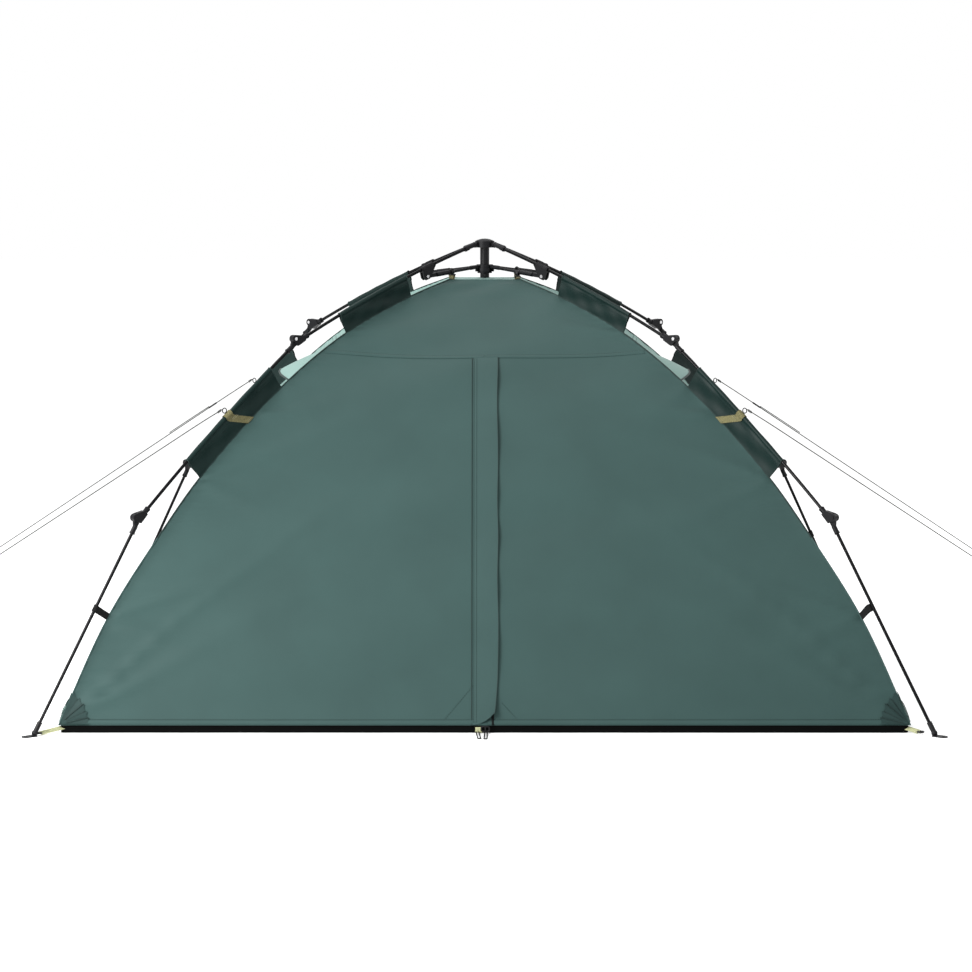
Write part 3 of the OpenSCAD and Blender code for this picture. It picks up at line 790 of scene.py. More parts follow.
@dataclass
class Panel:
    """One side of the canopy: a taut cloth between two seams."""

    side: Side
    legs: dict[str, Leg]
    sag: float = 0.026
    thickness: float = 0.0006
    columns: int = 60
    steps_per_row: int = 18

    def __post_init__(self) -> None:
        """Picks the two legs and the way the panel faces."""
        self.first, self.second = (self.legs[n] for n in self.side.value)
        middle = self.first.world(self.first.rows[-1]) + self.second.world(self.second.rows[-1])
        self.facing = unit(np.array([middle[0], middle[1], 0.0]))
        self.seed = list(Side).index(self.side) * 1.7

    def plain(self, u: Array, v: Array) -> Array:
        """The taut surface without folds.

        Args:
            u: Share across, from the first leg's seam.
            v: Row, from the roof.

        Returns:
            Points in the row frame.
        """
        a, b = self.first.world(self.first.seam(v)), self.second.world(self.second.seam(v))
        u = np.asarray(u, float)[..., None]
        flat = a + (b - a) * u
        hang = np.sin(np.pi * np.clip(np.asarray(v, float) / LAST_ROW, 0, 1)) ** 0.7
        pull = (4 * u[..., 0] * (1 - u[..., 0])) ** 0.8
        inward = -(self.facing * 0.82 + np.array([0, 0, 0.57]))
        return flat + (self.sag * hang * pull)[..., None] * inward

    def folds(self, u: Array, v: Array) -> Array:
        """How far the cloth stands off its taut surface: creases from where it is held.

        Args:
            u: Share across.
            v: Row.

        Returns:
            Heights along the taut surface's normals.
        """
        u, v = np.asarray(u, float), np.asarray(v, float)
        edge = np.minimum(u, 1 - u)
        s = self.seed
        slack = 1 - np.exp(-(edge / 0.05))
        wide = 0.0035 * np.sin(3.1 * v + 5.0 * u + s) * np.sin(6.3 * u + 0.9 * v + 2 * s)
        wide += 0.0018 * np.sin(9.0 * u + 2.3 * v + 3 * s) * np.sin(4.7 * v + s)
        pucker = 0.0011 * np.exp(-edge / 0.035) * np.sin(46 * v + 9 * np.sin(3 * v + s))
        rays = np.zeros_like(u * v)
        for row, slope, size, width in FOLDS:
            reach = edge * 2
            centre = row + slope * reach
            spread = width + 0.35 * reach
            fade = np.exp(-reach / 0.33) * (1 - np.exp(-reach / 0.02))
            rays += size * np.exp(-(((v - centre) / spread) ** 2)) * fade
        lie = np.clip((LAST_ROW - v) / 0.25, 0, 1) * np.clip(v / 0.3, 0, 1)
        return (wide * slack + rays) * lie + pucker * np.clip((LAST_ROW - v) / 0.1, 0, 1)

    def at(self, u: Any, v: Any) -> tuple[Array, Array]:
        """Points of the cloth and its outward normals.

        Args:
            u: Share across, from the first leg's seam.
            v: Row, from the roof.

        Returns:
            Points and normals in the row frame.
        """
        u, v = np.broadcast_arrays(np.asarray(u, float), np.asarray(v, float))

        def normal_of(surface: Callable[[Array, Array], Array]) -> Array:
            """Outward normals of a surface by small steps.

            Args:
                surface: Points from shares and rows.

            Returns:
                The normals.
            """
            e = 1e-3
            du = surface(np.clip(u + e, 0, 1), v) - surface(np.clip(u - e, 0, 1), v)
            dv = surface(u, np.clip(v + e, 0, LAST_ROW)) - surface(u, np.clip(v - e, 0, LAST_ROW))
            n = unit(np.cross(du, dv))
            flip = np.sign(n @ (self.facing + np.array([0, 0, 0.6])))
            return n * np.where(flip == 0, 1, flip)[..., None]

        base = normal_of(self.plain)

        def cloth(uu: Array, vv: Array) -> Array:
            """The folded surface, along the taut surface's normals."""
            return self.plain(uu, vv) + self.folds(uu, vv)[..., None] * base

        return cloth(u, v), normal_of(cloth)

    def row_at(self, z: float) -> float:
        """The row whose seam lies at height z."""
        v = np.linspace(0, LAST_ROW, 1401)
        return float(np.interp(-z, -self.first.seam(v)[:, 1], v))

    def share_at(self, x: Any, v: Any) -> Array:
        """The share across at distance x from the panel's middle."""
        a, b = self.first.world(self.first.seam(v)), self.second.world(self.second.seam(v))
        return 0.5 + np.asarray(x, float) / np.linalg.norm(b - a, axis=-1)

    def hold(self, piece: bpy.types.Object, leg: Leg, band: Band, keep: float = 0.06) -> bpy.types.Object:
        """Lets a piece of this panel ride its leg's body for that band.

        Args:
            piece: The piece.
            leg: The leg it goes with.
            band: The stretch it lies in.
            keep: Not used.

        Returns:
            The piece.
        """
        low, high = BANDS[band]
        top, bottom = leg.world(leg.seam(low)), leg.world(leg.seam(high))
        other = self.second if leg is self.first else self.first
        away = other.world(other.seam((low + high) / 2)) - (top + bottom) / 2
        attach(piece, f"{leg.name}_{band.value}")
        anchor = tuple(leg.world(leg.seam((low + high) / 2)))
        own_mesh(piece)
        return piece

    def halves(self) -> list[tuple[Leg, tuple[float, float]]]:
        """Each leg with the shares across that go with it."""
        return [(self.first, (0.0, 0.5)), (self.second, (0.5, 1.0))]

    def cloths(self, paint: Paint, finish: str) -> list[bpy.types.Object]:
        """Builds the panel's cloth, one piece for each leg and band.

        Args:
            paint: The finishes.
            finish: The cloth's finish.

        Returns:
            The pieces.
        """
        made = []
        for leg, (start, end) in self.halves():
            for band, (low, high) in BANDS.items():
                rows = int(round((high - low) * self.steps_per_row)) + 1
                across = np.linspace(start, end, self.columns // 2 + 1)
                u, v = np.meshgrid(across, np.linspace(low, high, rows))
                points, normals = self.at(u, v)
                name = f"{self.side.name.lower()}_cloth_{leg.name}_{band.value}"
                piece = shell(name, points, normals, self.thickness)
                paint.dress(piece, finish, finish)
                self.hold(piece, leg, band)
                area = self.area(points)
                width = float(np.linalg.norm(points[:, -1] - points[:, 0], axis=-1).max())
                length = float(np.linalg.norm(np.diff(points[:, 0], axis=0), axis=-1).sum())
                length = max(length, area / width)
                made.append(piece)
        return made

    @staticmethod
    def area(points: Array) -> float:
        """The area of a grid of points."""
        a = points[1:, :-1] - points[:-1, :-1]
        b = points[:-1, 1:] - points[:-1, :-1]
        return float(np.linalg.norm(np.cross(a, b), axis=-1).sum())

    def lying(
        self,
        name: str,
        shares: Array,
        rows: Array,
        lift: float,
        build: Callable[[str, Array, Array], bpy.types.Object],
        finish: str,
        paint: Paint,
        slot: str,
    ) -> list[bpy.types.Object]:
        """Lays a narrow piece along a line on the cloth, parted where the cloth parts.

        Args:
            name: The pieces' name.
            shares: The line's shares across.
            rows: The line's rows.
            lift: How far it lies off the cloth.
            build: Makes a piece from a name, points and normals.
            finish: Its finish.
            paint: The finishes.
            slot: The record's slot.

        Returns:
            The pieces.
        """
        made = []
        for leg, (start, end) in self.halves():
            for band, (low, high) in BANDS.items():
                in_band = (rows >= low - 1e-9) & (rows <= high + 1e-9)
                inside = (shares >= start - 1e-9) & (shares <= end + 1e-9) & in_band
                if end == 1.0 and np.allclose(shares, 0.5, atol=0.06):
                    continue
                if start == 0.0 and np.allclose(shares, 0.5, atol=0.06):
                    inside = in_band
                if inside.sum() < 3:
                    continue
                points, normals = self.at(shares[inside], rows[inside])
                piece = build(f"{name}_{leg.name}_{band.value}", points + normals * lift, normals)
                paint.dress(piece, finish, slot)
                self.hold(piece, leg, band)
                made.append(piece)
        return made


@dataclass
class Canopy:
    """The fly: four taut panels, the roof, piping, the door's flap and seams, hoods and the tub."""

    legs: dict[str, Leg]
    paint: Paint
    flap_middle: float = 0.003
    flap_half: float = 0.035
    cross_seam_z: float = 1.030
    patch_reach: float = 0.100
    pleats: int = 5
    hood_half: float = 0.19
    hood_reach: float = 0.165

    def build(self) -> None:
        """Builds every piece of cloth."""
        self.panels = {side: Panel(side, self.legs) for side in Side}
        for side, panel in self.panels.items():
            # The side panels take the lit copy of the fly's fabric: painted light.
            finish = "fly" if side in (Side.FRONT, Side.REAR) else "fly_light"
            cloths = panel.cloths(self.paint, finish)
            if side is Side.FRONT:
                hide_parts("front_panel")
            elif side is Side.REAR:
                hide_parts("rear_panel")
            elif side is Side.LEFT:
                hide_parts("side_panels")
            LOG.info("%s panel: %d cloths", side.name.lower(), len(cloths))
            self.cross_seam(panel, side)
            self.corner_patches(panel, side)
            self.hem(panel, side)
        self.roof()
        self.piping()
        self.storm_flap()
        self.hoods()
        self.tub()

    def cross_seam(self, panel: Panel, side: Side) -> None:
        """The felled seam across a panel under the upper elbows.

        Args:
            panel: The panel.
            side: The way it faces.
        """
        row = panel.row_at(self.cross_seam_z)
        shares = np.linspace(0.012, 0.988, 160)
        dip = 0.035 * np.sin(np.pi * shares)
        rows = row + dip
        name = side.name.lower()
        # On the side panels the felled seam takes the lit copy of the fly's fabric: painted light.
        finish = "fly" if side in (Side.FRONT, Side.REAR) else "fly_light"
        outline = tape_outline(0.012, 0.0012)
        tape = tape_builder(outline)
        panel.lying(f"{name}_cross_fell", shares, rows, 0.0006, tape, finish, self.paint, finish)
        for k, shift in enumerate((-0.030, 0.030)):
            row_name = f"{name}_cross_stitch_{k}"
            beside = rows + shift * 0.9
            panel.lying(row_name, shares, beside, 0.0008, fine_stitches, "thread", self.paint, finish)

    def corner_patches(self, panel: Panel, side: Side) -> None:
        """Fans of pressed pleats that reinforce the two bottom corners, with painted shade laid as dark lines
        along the valleys between pleats.

        Args:
            panel: The panel.
            side: The way it faces.
        """
        name = side.name.lower()
        # On the side panels the patches take the lit copy of the fly's fabric: painted light.
        slot = "fly" if side in (Side.FRONT, Side.REAR) else "fly_light"
        corners = [leg.world(leg.rows[-1]) for leg in (panel.first, panel.second)]
        width = float(np.linalg.norm(corners[1] - corners[0]))
        half_row = panel.first.world(panel.first.seam(7.0)) - panel.first.world(panel.first.seam(6.5))
        height = float(np.linalg.norm(half_row)) * 2
        columns = 72
        opening = math.radians(58)
        for leg, sign in ((panel.first, 1), (panel.second, -1)):
            turn, far = np.meshgrid(np.linspace(0, 1, columns + 1), np.linspace(0.04, 1, 16))
            edge = 1 - 0.13 * ((turn * self.pleats) % 1.0)
            radius = self.patch_reach * far * np.where(far > 0.98, edge, 1.0) * (1 - 0.16 * turn)
            share = radius * np.sin(opening * turn) / math.sin(opening) / width + 0.0008
            rows = 6.992 - radius * np.sin(opening * (1 - turn)) / math.sin(opening) / height
            share = share if sign > 0 else 1 - share
            points, normals = panel.at(share, rows)
            sharp = np.clip(1 - ((turn * self.pleats) % 1.0) / 0.85, 0, 1) ** 0.7
            pleat = 0.0052 * sharp * np.sin(np.pi * np.clip(far, 0, 0.97)) ** 0.4 * (0.25 + far)
            raised = points + normals * (0.0012 + pleat)[..., None]
            piece = shell(f"{name}_corner_patch_{leg.name}", raised, normals, 0.0007)
            self.paint.dress(piece, "patch" if slot == "fly" else slot, slot)
            panel.hold(piece, leg, Band.LOWER)
            # Dark lines along the pleat valleys are painted shade: they darken the valleys more than the
            # pleats' own shading does.
            creases = []
            for k in range(1, self.pleats):
                column = int(round(columns * k / self.pleats))
                line = (points + normals * (0.0022 + pleat)[..., None])[3:, column]
                creases.append(sweep("part", line, round_outline(0.0009, 6), normals[3:, column]))
            pleat_valley_shade = joined(f"{name}_corner_creases_{leg.name}", creases)
            self.paint.dress(pleat_valley_shade, "piping", slot)
            panel.hold(pleat_valley_shade, leg, Band.LOWER)

    def hem(self, panel: Panel, side: Side) -> None:
        """The turned hem along the panel's foot.

        Args:
            panel: The panel.
            side: The way it faces.
        """
        shares = np.linspace(0.002, 0.998, 140)
        rows = np.full_like(shares, 6.992)
        # On the side panels the hem takes the lit copy of the fly's fabric: painted light.
        slot = "fly" if side in (Side.FRONT, Side.REAR) else "fly_light"
        name = side.name.lower()
        outline = tape_outline(0.012, 0.0022)
        panel.lying(f"{name}_hem", shares, rows - 0.02, 0.0008, tape_builder(outline), slot, self.paint, slot)
        row_name = f"{name}_hem_stitch"
        panel.lying(row_name, shares, rows - 0.045, 0.0010, fine_stitches, "thread", self.paint, slot)

    def roof_corners(self) -> list[Array]:
        """The roof's corners, in order round it."""
        names = ("front_left", "front_right", "rear_right", "rear_left")
        return [self.legs[name].world(self.legs[name].rows[0]) for name in names]

    def roof(self) -> None:
        """The flat top, drawn up at the shaft and at its four hangers."""
        corners = self.roof_corners()
        u, v = np.meshgrid(np.linspace(0, 1, 41), np.linspace(0, 1, 41))
        w = [(1 - u) * (1 - v), u * (1 - v), u * v, (1 - u) * v]
        grid = sum(wk[..., None] * c for wk, c in zip(w, corners))
        edge = 16 * u * (1 - u) * v * (1 - v)
        away = np.linalg.norm(grid[..., :2], axis=-1)
        drawn_up = 0.0035 * np.exp(-((away / 0.03) ** 2))
        grid[..., 2] += drawn_up - 0.006 * edge * (1 - np.exp(-((away / 0.05) ** 2)))
        front_dip = 0.005 * (1 - 4 * (u - 0.5) ** 2) * (v < 0.001)
        grid[..., 2] -= front_dip + 0.0008 * np.sin(60 * u + 9 * v) * edge
        du, dv = np.gradient(grid, axis=1), np.gradient(grid, axis=0)
        normals = unit(np.cross(du, dv))
        piece = shell("roof_cloth", grid, normals, 0.0006)
        # The roof takes the lit copy of the fly's fabric: painted light from above.
        self.paint.dress(piece, "fly_light", "fly_light")
        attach(piece, "hub")
        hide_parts("roof_panel")

    def piping(self) -> None:
        """Dark piping down each seam and round the roof."""
        for leg in self.legs.values():
            for band, (low, high) in BANDS.items():
                v = np.linspace(low, high, 40)
                plane = leg.seam(v)
                out = np.stack([np.full_like(v, 0.5), np.full_like(v, 0.86)], -1)
                name = f"seam_piping_{leg.name}_{band.value}"
                piece = sweep(name, leg.world(plane), round_outline(0.0024, 10), leg.aim(out))
                self.paint.dress(piece, "flap" if band is Band.LOWER else "piping", "sleeve")
                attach(piece, f"{leg.name}_{band.value}")
        ring = self.roof_corners()
        for k in range(4):
            a, b = ring[k], ring[(k + 1) % 4]
            t = np.linspace(0, 1, 31)
            line = a + (b - a) * t[:, None]
            line[:, 2] -= 0.006 * 4 * t * (1 - t)
            piece = sweep(f"roof_piping_{k}", line, round_outline(0.0024, 10), UP)
            self.paint.dress(piece, "piping", "sleeve")
            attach(piece, "hub")

    def storm_flap(self) -> None:
        """The flap over the door's zip, its stitching, and the zip beside it."""
        panel = self.panels[Side.FRONT]
        top = panel.row_at(self.cross_seam_z) + 0.06
        first = True
        for band, (low, high) in BANDS.items():
            start, end = max(low, top), min(high, 6.998)
            if end - start < 0.05:
                continue
            rows = np.linspace(start, end, max(6, int((end - start) * 20)))
            x = np.linspace(-self.flap_half, self.flap_half, 13)
            side = (x / self.flap_half + 1) / 2
            low_part = np.clip((rows - 6.55) / 0.45, 0, 1)[:, None]
            v = rows[:, None] - 0.10 * side[None, :] ** 1.5 * low_part**6
            sway = 0.0012 * np.sin(5.3 * v + 0.7) * side[None, :]
            narrow = 1 - 0.30 * low_part**1.3 * (x[None, :] > 0)
            share = panel.share_at(x[None, :] * narrow + self.flap_middle + sway, v)
            points, normals = panel.at(share, v)
            curl = 0.0018 + 0.0040 * side**4 * (1 + 0.5 * np.sin(9 * v + 1.3)) + 0.012 * low_part**2 * side**2
            curl += 0.0020 * np.exp(-(((side - 0.55) / 0.16) ** 2)) * (1 + np.sin(23 * v)) * (0.4 + low_part)
            piece = shell(f"storm_flap_{band.value}", points + normals * curl[..., None], normals, 0.0008)
            self.paint.dress(piece, "flap", "flap")
            panel.hold(piece, panel.first, band)
            if first:
                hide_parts("storm_flap")
                first = False
            fine = np.linspace(start, end, max(8, int((end - start) * 40)))
            for k, off in enumerate((-0.0335, -0.026)):
                shares = panel.share_at(self.flap_middle + off, fine)
                p, n = panel.at(shares, fine)
                row = stitch_row(f"flap_stitch_{k}_{band.value}", p + n * 0.0024, n, size=0.0007)
                self.paint.dress(row, "thread", "flap")
                panel.hold(row, panel.first, band)
            shares = panel.share_at(self.flap_middle - 0.0395, fine)
            p, n = panel.at(shares, fine)
            row = sweep(f"flap_fell_{band.value}", p + n * 0.0010, round_outline(0.0009, 8), n)
            self.paint.dress(row, "piping", "flap")
            panel.hold(row, panel.first, band)
            edge_line = points[:, -1] + normals[:, -1] * curl[:, -1:]
            row = sweep(f"flap_edge_{band.value}", edge_line, round_outline(0.0009, 8), normals[:, -1])
            self.paint.dress(row, "piping", "flap")
            panel.hold(row, panel.first, band)
            under = panel.share_at(self.flap_middle + 0.020, fine)
            p, n = panel.at(under, fine)
            zip_line = sweep(f"door_zip_{band.value}", p + n * 0.0014, tape_outline(0.007, 0.0016), n)
            self.paint.dress(zip_line, "zip", "flap")
            panel.hold(zip_line, panel.first, band)
        for k, (x0, x1, v0) in enumerate(((-0.030, -0.118, 6.62), (0.046, 0.098, 6.78))):
            v = np.linspace(v0, 6.97, 30)
            x = x0 + (x1 - x0) * (v - v0) / (6.97 - v0)
            shares = panel.share_at(x, v)
            p, n = panel.at(shares, v)
            row = stitch_row(f"door_corner_stitch_{k}", p + n * 0.0010, n, size=0.0007)
            self.paint.dress(row, "thread", "fly")
            panel.hold(row, panel.first if x1 < 0 else panel.second, Band.LOWER)

    def hoods(self) -> None:
        """Stiffened awnings over the side vents."""
        _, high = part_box("vent_hoods")
        replaced = False
        for side in (Side.LEFT, Side.RIGHT):
            panel = self.panels[side]
            sign = -1 if side is Side.LEFT else 1
            top = panel.row_at(float(high.z))
            seams = [leg.world(leg.seam(top)) for leg in (panel.first, panel.second)]
            width = self.hood_half / np.linalg.norm(seams[1] - seams[0])
            for leg, (start, _) in panel.halves():
                half = np.linspace(0.5, 0.5 + (0.5 if start == 0.5 else -0.5), 19)
                share = 0.5 + (half - 0.5) * 2 * width
                drop = np.linspace(0, 1, 15)
                s, d = np.meshgrid(np.abs(half - 0.5) * 2, drop)
                root_row = top + 0.62 * s**2
                u = np.broadcast_to(share, s.shape)
                base, normal = panel.at(u, root_row)
                outward = np.array([float(sign), 0, 0])
                reach = self.hood_reach * (1 - s**2.2)
                droop = (0.050 * d + 0.022 * d * d) * (1 - s**2)
                points = base + outward * (reach * d)[..., None] - UP * droop[..., None]
                points = points + normal * 0.003
                normals = unit(np.cross(np.gradient(points, axis=1), np.gradient(points, axis=0)) + 1e-9)
                flip = np.where(normals[..., 2] < 0, -1.0, 1.0)
                normals = normals * flip[..., None]
                piece = shell(f"vent_hood_{leg.name}_{side.name.lower()}", points, normals, 0.0012)
                # The hoods take the lit copy of the fly's fabric: painted light from above.
                self.paint.dress(piece, "fly_light", "fly_light")
                panel.hold(piece, leg, Band.MIDDLE)
                if not replaced:
                    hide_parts("vent_hoods")
                    replaced = True
                rim_name = f"vent_hood_rim_{leg.name}_{side.name.lower()}"
                rim = sweep(rim_name, points[-1, :-1], round_outline(0.0028, 8), UP)
                self.paint.dress(rim, "piping", "fly_light")
                panel.hold(rim, leg, Band.MIDDLE)

    def tub(self) -> None:
        """The black floor with its low wall, creased where it is sewn to the hem."""
        low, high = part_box("groundsheet")
        outer = self.floor_outline(low, high)
        centre_out = unit(outer)
        n = len(outer)
        verts: list[Array] = []
        levels = np.linspace(0.0008, float(high.z) - 0.0006, 6)
        for j, z in enumerate(levels):
            wave = 0.0018 * np.sin(np.arange(n) * 0.9 + j) * np.sin(np.pi * j / 5)
            wave += 0.0012 * np.sin(np.arange(n) * 0.37)
            inset = outer - centre_out * (0.0015 + np.abs(wave))[:, None]
            verts += [np.array([x, y, z]) for x, y in inset]
        faces = []
        for j in range(5):
            for i in range(n):
                i2 = (i + 1) % n
                faces.append([j * n + i, j * n + i2, (j + 1) * n + i2, (j + 1) * n + i])
        rings = 12
        for k in range(1, rings):
            shrink = 1 - k / rings
            base = len(verts)
            for i, (x, y) in enumerate(outer):
                ripple = 0.0004 * abs(math.sin(k * 1.7 + i * 0.31))
                verts.append(np.array([x * shrink, y * shrink, 0.0009 + ripple]))
            before = 0 if k == 1 else base - n
            faces += [[before + (i + 1) % n, before + i, base + i, base + (i + 1) % n] for i in range(n)]
        verts.append(np.array([0, 0, 0.001]))
        tip = len(verts) - 1
        faces += [[tip - n + (i + 1) % n, tip - n + i, tip] for i in range(n)]
        piece = piece_of("tub_cloth", verts, faces)
        self.paint.dress(piece, "tub", "tub")
        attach(piece, "root")
        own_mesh(piece)
        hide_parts("groundsheet")

    @staticmethod
    def floor_outline(low: Vector, high: Vector) -> Array:
        """The floor's outline with rounded corners, stepped every 30 mm.

        Args:
            low: The floor's low corner.
            high: Its high corner.

        Returns:
            Points round the floor.
        """
        corner = 0.012
        around: list[tuple[float, float]] = []
        quarters = ((high.x, high.y, 0), (low.x, high.y, 90), (low.x, low.y, 180), (high.x, low.y, 270))
        for cx, cy, begin in quarters:
            middle = (cx - math.copysign(corner, cx), cy - math.copysign(corner, cy))
            for step in range(5):
                angle = math.radians(begin + step * 22.5)
                around.append((middle[0] + corner * math.cos(angle), middle[1] + corner * math.sin(angle)))
        ring: list[tuple[float, float]] = []
        for k, p in enumerate(around):
            q = around[(k + 1) % len(around)]
            count = max(1, int(math.dist(p, q) / 0.03))
            step_x, step_y = (q[0] - p[0]) / count, (q[1] - p[1]) / count
            ring += [(p[0] + step_x * i, p[1] + step_y * i) for i in range(count)]
        return np.array(ring)


# ---------------------------------------------------------------- sleeves, straps and hangers


@dataclass
class Harness:
    """What ties the canopy to the poles: sleeves, straps, hangers and corner webbing."""

    legs: dict[str, Leg]
    paint: Paint
    sleeve_radius: float = 0.0068
    strap_width: float = 0.020
    strap_thickness: float = 0.0014

    def build(self) -> None:
        """Builds every tie."""
        for k, leg in enumerate(self.legs.values()):
            self.sleeve(leg, Band.ARM, leg.arm, leg.upper_sleeve, (1.0, 2.0), k)
            self.sleeve(leg, Band.MIDDLE, leg.middle, leg.lower_sleeve, (3.0, 4.0), k + 0.5)
            self.guy_strap(leg, k == 0)
            self.elastic(leg, k == 0)
            self.corner(leg, k == 0)
            self.hanger(leg, k == 0)

    def sleeve(
        self,
        leg: Leg,
        band: Band,
        pole: Callable,
        span: tuple[float, float],
        rows: tuple[float, float],
        seed: float,
    ) -> None:
        """A cloth tube round the pole with its web down to the seam.

        Args:
            leg: The leg.
            band: Which body it rides.
            pole: The pole's arc.
            span: Where it starts and stops along the pole.
            rows: The seam's rows it is sewn to.
            seed: Sets its creases apart from the others'.
        """
        n = 72
        t = np.linspace(0, 1, n)
        axis, out = pole(span[0] + (span[1] - span[0]) * t)
        foot = leg.seam(rows[0] + (rows[1] - rows[0]) * t)
        loop = 15
        angle = np.linspace(-0.86 * np.pi, 0.86 * np.pi, loop)
        webs = 12
        web = np.linspace(0.16, 1, webs)
        columns: list[Array] = []

        def crease(s: Array, w: Any) -> Array:
            """How far the web stands off its plane, along it and down it."""
            drawn = 0.0026 * np.sin(9 * s + 4 * w + 2 * seed) + 0.0010 * np.sin(23 * s - 3 * w + seed)
            return drawn * np.sin(np.pi * w)

        for w in web[::-1]:
            spot = axis + (foot - axis) * w
            gap = 0.0016 + 0.0032 * (1 - w) ** 2
            columns.append(leg.world(spot, -gap + crease(t, w)))
        swell = 1 + 0.05 * np.sin(23 * t + seed)
        for a in angle:
            spot = axis + out * (self.sleeve_radius * np.cos(a) * swell)[:, None]
            columns.append(leg.world(spot, self.sleeve_radius * np.sin(a) * swell))
        for w in web:
            spot = axis + (foot - axis) * w
            gap = 0.0016 + 0.0032 * (1 - w) ** 2
            columns.append(leg.world(spot, gap + crease(t, w)))
        grid = np.stack(columns, 1)
        normals = unit(np.cross(np.gradient(grid, axis=0), np.gradient(grid, axis=1)))
        middle = axis[:, None, :]
        reference = grid - leg.world(np.broadcast_to(middle, grid.shape[:2] + (2,)))
        if (normals[n // 2, webs + loop // 2] @ reference[n // 2, webs + loop // 2]) < 0:
            normals = -normals
        piece = shell(f"{band.value}_sleeve_{leg.name}", grid, normals, 0.0005)
        self.paint.dress(piece, "sleeve", "sleeve")
        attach(piece, f"{leg.name}_{band.value}")
        if seed == 0:
            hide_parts("pole_sleeves")
        length = float(np.linalg.norm(np.diff(leg.world(axis), axis=0), axis=-1).sum())
        for side in (-1, 1):
            w = 0.30
            spot = axis + (foot - axis) * w
            gap = side * (0.0016 + 0.0032 * (1 - w) ** 2 + 0.0008)
            line = leg.world(spot, gap + crease(t, w))
            row_name = f"{band.value}_sleeve_stitch_{'a' if side < 0 else 'b'}_{leg.name}"
            row = fine_stitches(row_name, line, np.broadcast_to(leg.across * side, line.shape))
            self.paint.dress(row, "thread", "sleeve")
            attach(row, f"{leg.name}_{band.value}")
        for k, end in enumerate((0, -1)):
            mouth = grid[end, webs - 4 : webs + loop + 4]
            ahead = unit(leg.world(axis[1:2])[0] - leg.world(axis[:1])[0])
            rim = sweep(f"{band.value}_sleeve_hem_{k}_{leg.name}", mouth, round_outline(0.0013, 8), ahead)
            self.paint.dress(rim, "piping", "sleeve")
            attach(rim, f"{leg.name}_{band.value}")

    def loop_round(
        self, name: str, leg: Leg, centre: Array, out: Array, foot: Array, radius: float, gap: float
    ) -> bpy.types.Object:
        """A tape round a pole with both tails laid together down to the seam.

        Args:
            name: The piece's name.
            leg: The leg.
            centre: The pole's axis point in the leg's plane.
            out: The pole's outward normal there.
            foot: Where the tails end in the leg's plane.
            radius: Of the loop.
            gap: Half the space between the tails.

        Returns:
            The tape.
        """
        tangent = np.array([out[1], -out[0]])
        share = np.linspace(1, 0, 15)[:-1]
        root = centre - out * radius * 1.25
        tail = root + (foot - root) * share[:, None]
        turn = np.linspace(-0.8 * np.pi, 0.8 * np.pi, 27)
        ring = centre + out * (radius * np.cos(turn))[:, None]
        plane = np.concatenate([tail, ring, tail[::-1]])
        spread = gap + (radius * 0.5 - gap) * (1 - share) ** 3
        y = np.concatenate([-spread, radius * np.sin(turn), spread[::-1]])
        ahead = unit(foot - root)
        slant = abs(ahead[0] * out[0] + ahead[1] * out[1])
        half = self.strap_width / 2 / max(slant, 0.5)
        across = np.linspace(-half, half, 7)
        middle = leg.world(plane, y)
        side = leg.aim(tangent)
        grid = middle[:, None, :] + side * across[None, :, None]
        grid = grid + leg.across * (0.0003 * np.cos(across / half * np.pi))[None, :, None]
        forward = np.gradient(grid, axis=0)
        normals = unit(np.cross(forward, np.broadcast_to(side, forward.shape)))
        top = len(plane) // 2
        if normals[top, 3] @ leg.aim(out) < 0:
            normals = -normals
        return shell(name, grid + normals * self.strap_thickness / 2, normals, self.strap_thickness)

    def guy_strap(self, leg: Leg, first: bool) -> None:
        """Khaki webbing round the lower sleeve, with its ring and bar tacks.

        Args:
            leg: The leg.
            first: Whether it stands for the record's node.
        """
        centre, out = leg.middle(0.43)
        rows = np.linspace(2.2, 4.0, 91)
        seam = leg.seam(rows)
        drop = seam[:, 1] - (centre[1] - 0.018)
        foot = seam[int(np.argmin(np.abs(drop)))] - out * 0.002
        reach = float(np.linalg.norm(centre - foot))
        body = f"{leg.name}_middle"
        radius = self.sleeve_radius + 0.0016
        strap = self.loop_round(f"guy_strap_{leg.name}", leg, centre, out, foot, radius, 0.0046)
        self.paint.dress(strap, "khaki_strap", "khaki_strap")
        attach(strap, body)
        angle = np.linspace(0, 2 * np.pi, 28, endpoint=False)
        spot = centre + out * 0.0182
        tangent = np.array([out[1], -out[0]])
        circle = leg.world(spot + 0.0072 * (np.cos(angle)[:, None] * out + np.sin(angle)[:, None] * tangent))
        ring = sweep(f"guy_ring_{leg.name}", circle, round_outline(0.0015, 10), leg.across, closed=True)
        self.paint.dress(ring, "buckle", "buckle")
        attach(ring, body)
        for side in (-1, 1):
            for k, w in enumerate((0.020, 0.026, reach - 0.007)):
                y = np.linspace(-0.0105, 0.0105, 14)
                spot = centre + (foot - centre) * (w / reach)
                line = leg.world(spot + tangent * y[:, None], side * (0.0052 + self.strap_thickness))
                name = f"guy_tack_{leg.name}_{'a' if side < 0 else 'b'}_{k}"
                tack = bar_tack(name, line, leg.across * side)
                self.paint.dress(tack, "pale_thread", "khaki_strap")
                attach(tack, body)
        if first:
            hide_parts("guy_straps")

    def elastic(self, leg: Leg, first: bool) -> None:
        """Black elastic from the lower pole to the seam.

        Args:
            leg: The leg.
            first: Whether it stands for the record's node.
        """
        centre, out = leg.lower(0.42)
        foot = leg.seam(6.0)
        strap = self.loop_round(f"elastic_strap_{leg.name}", leg, centre, out, foot, 0.0062, 0.0010)
        self.paint.dress(strap, "elastic", "elastic")
        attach(strap, f"{leg.name}_lower")
        if first:
            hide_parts("elastic_straps")

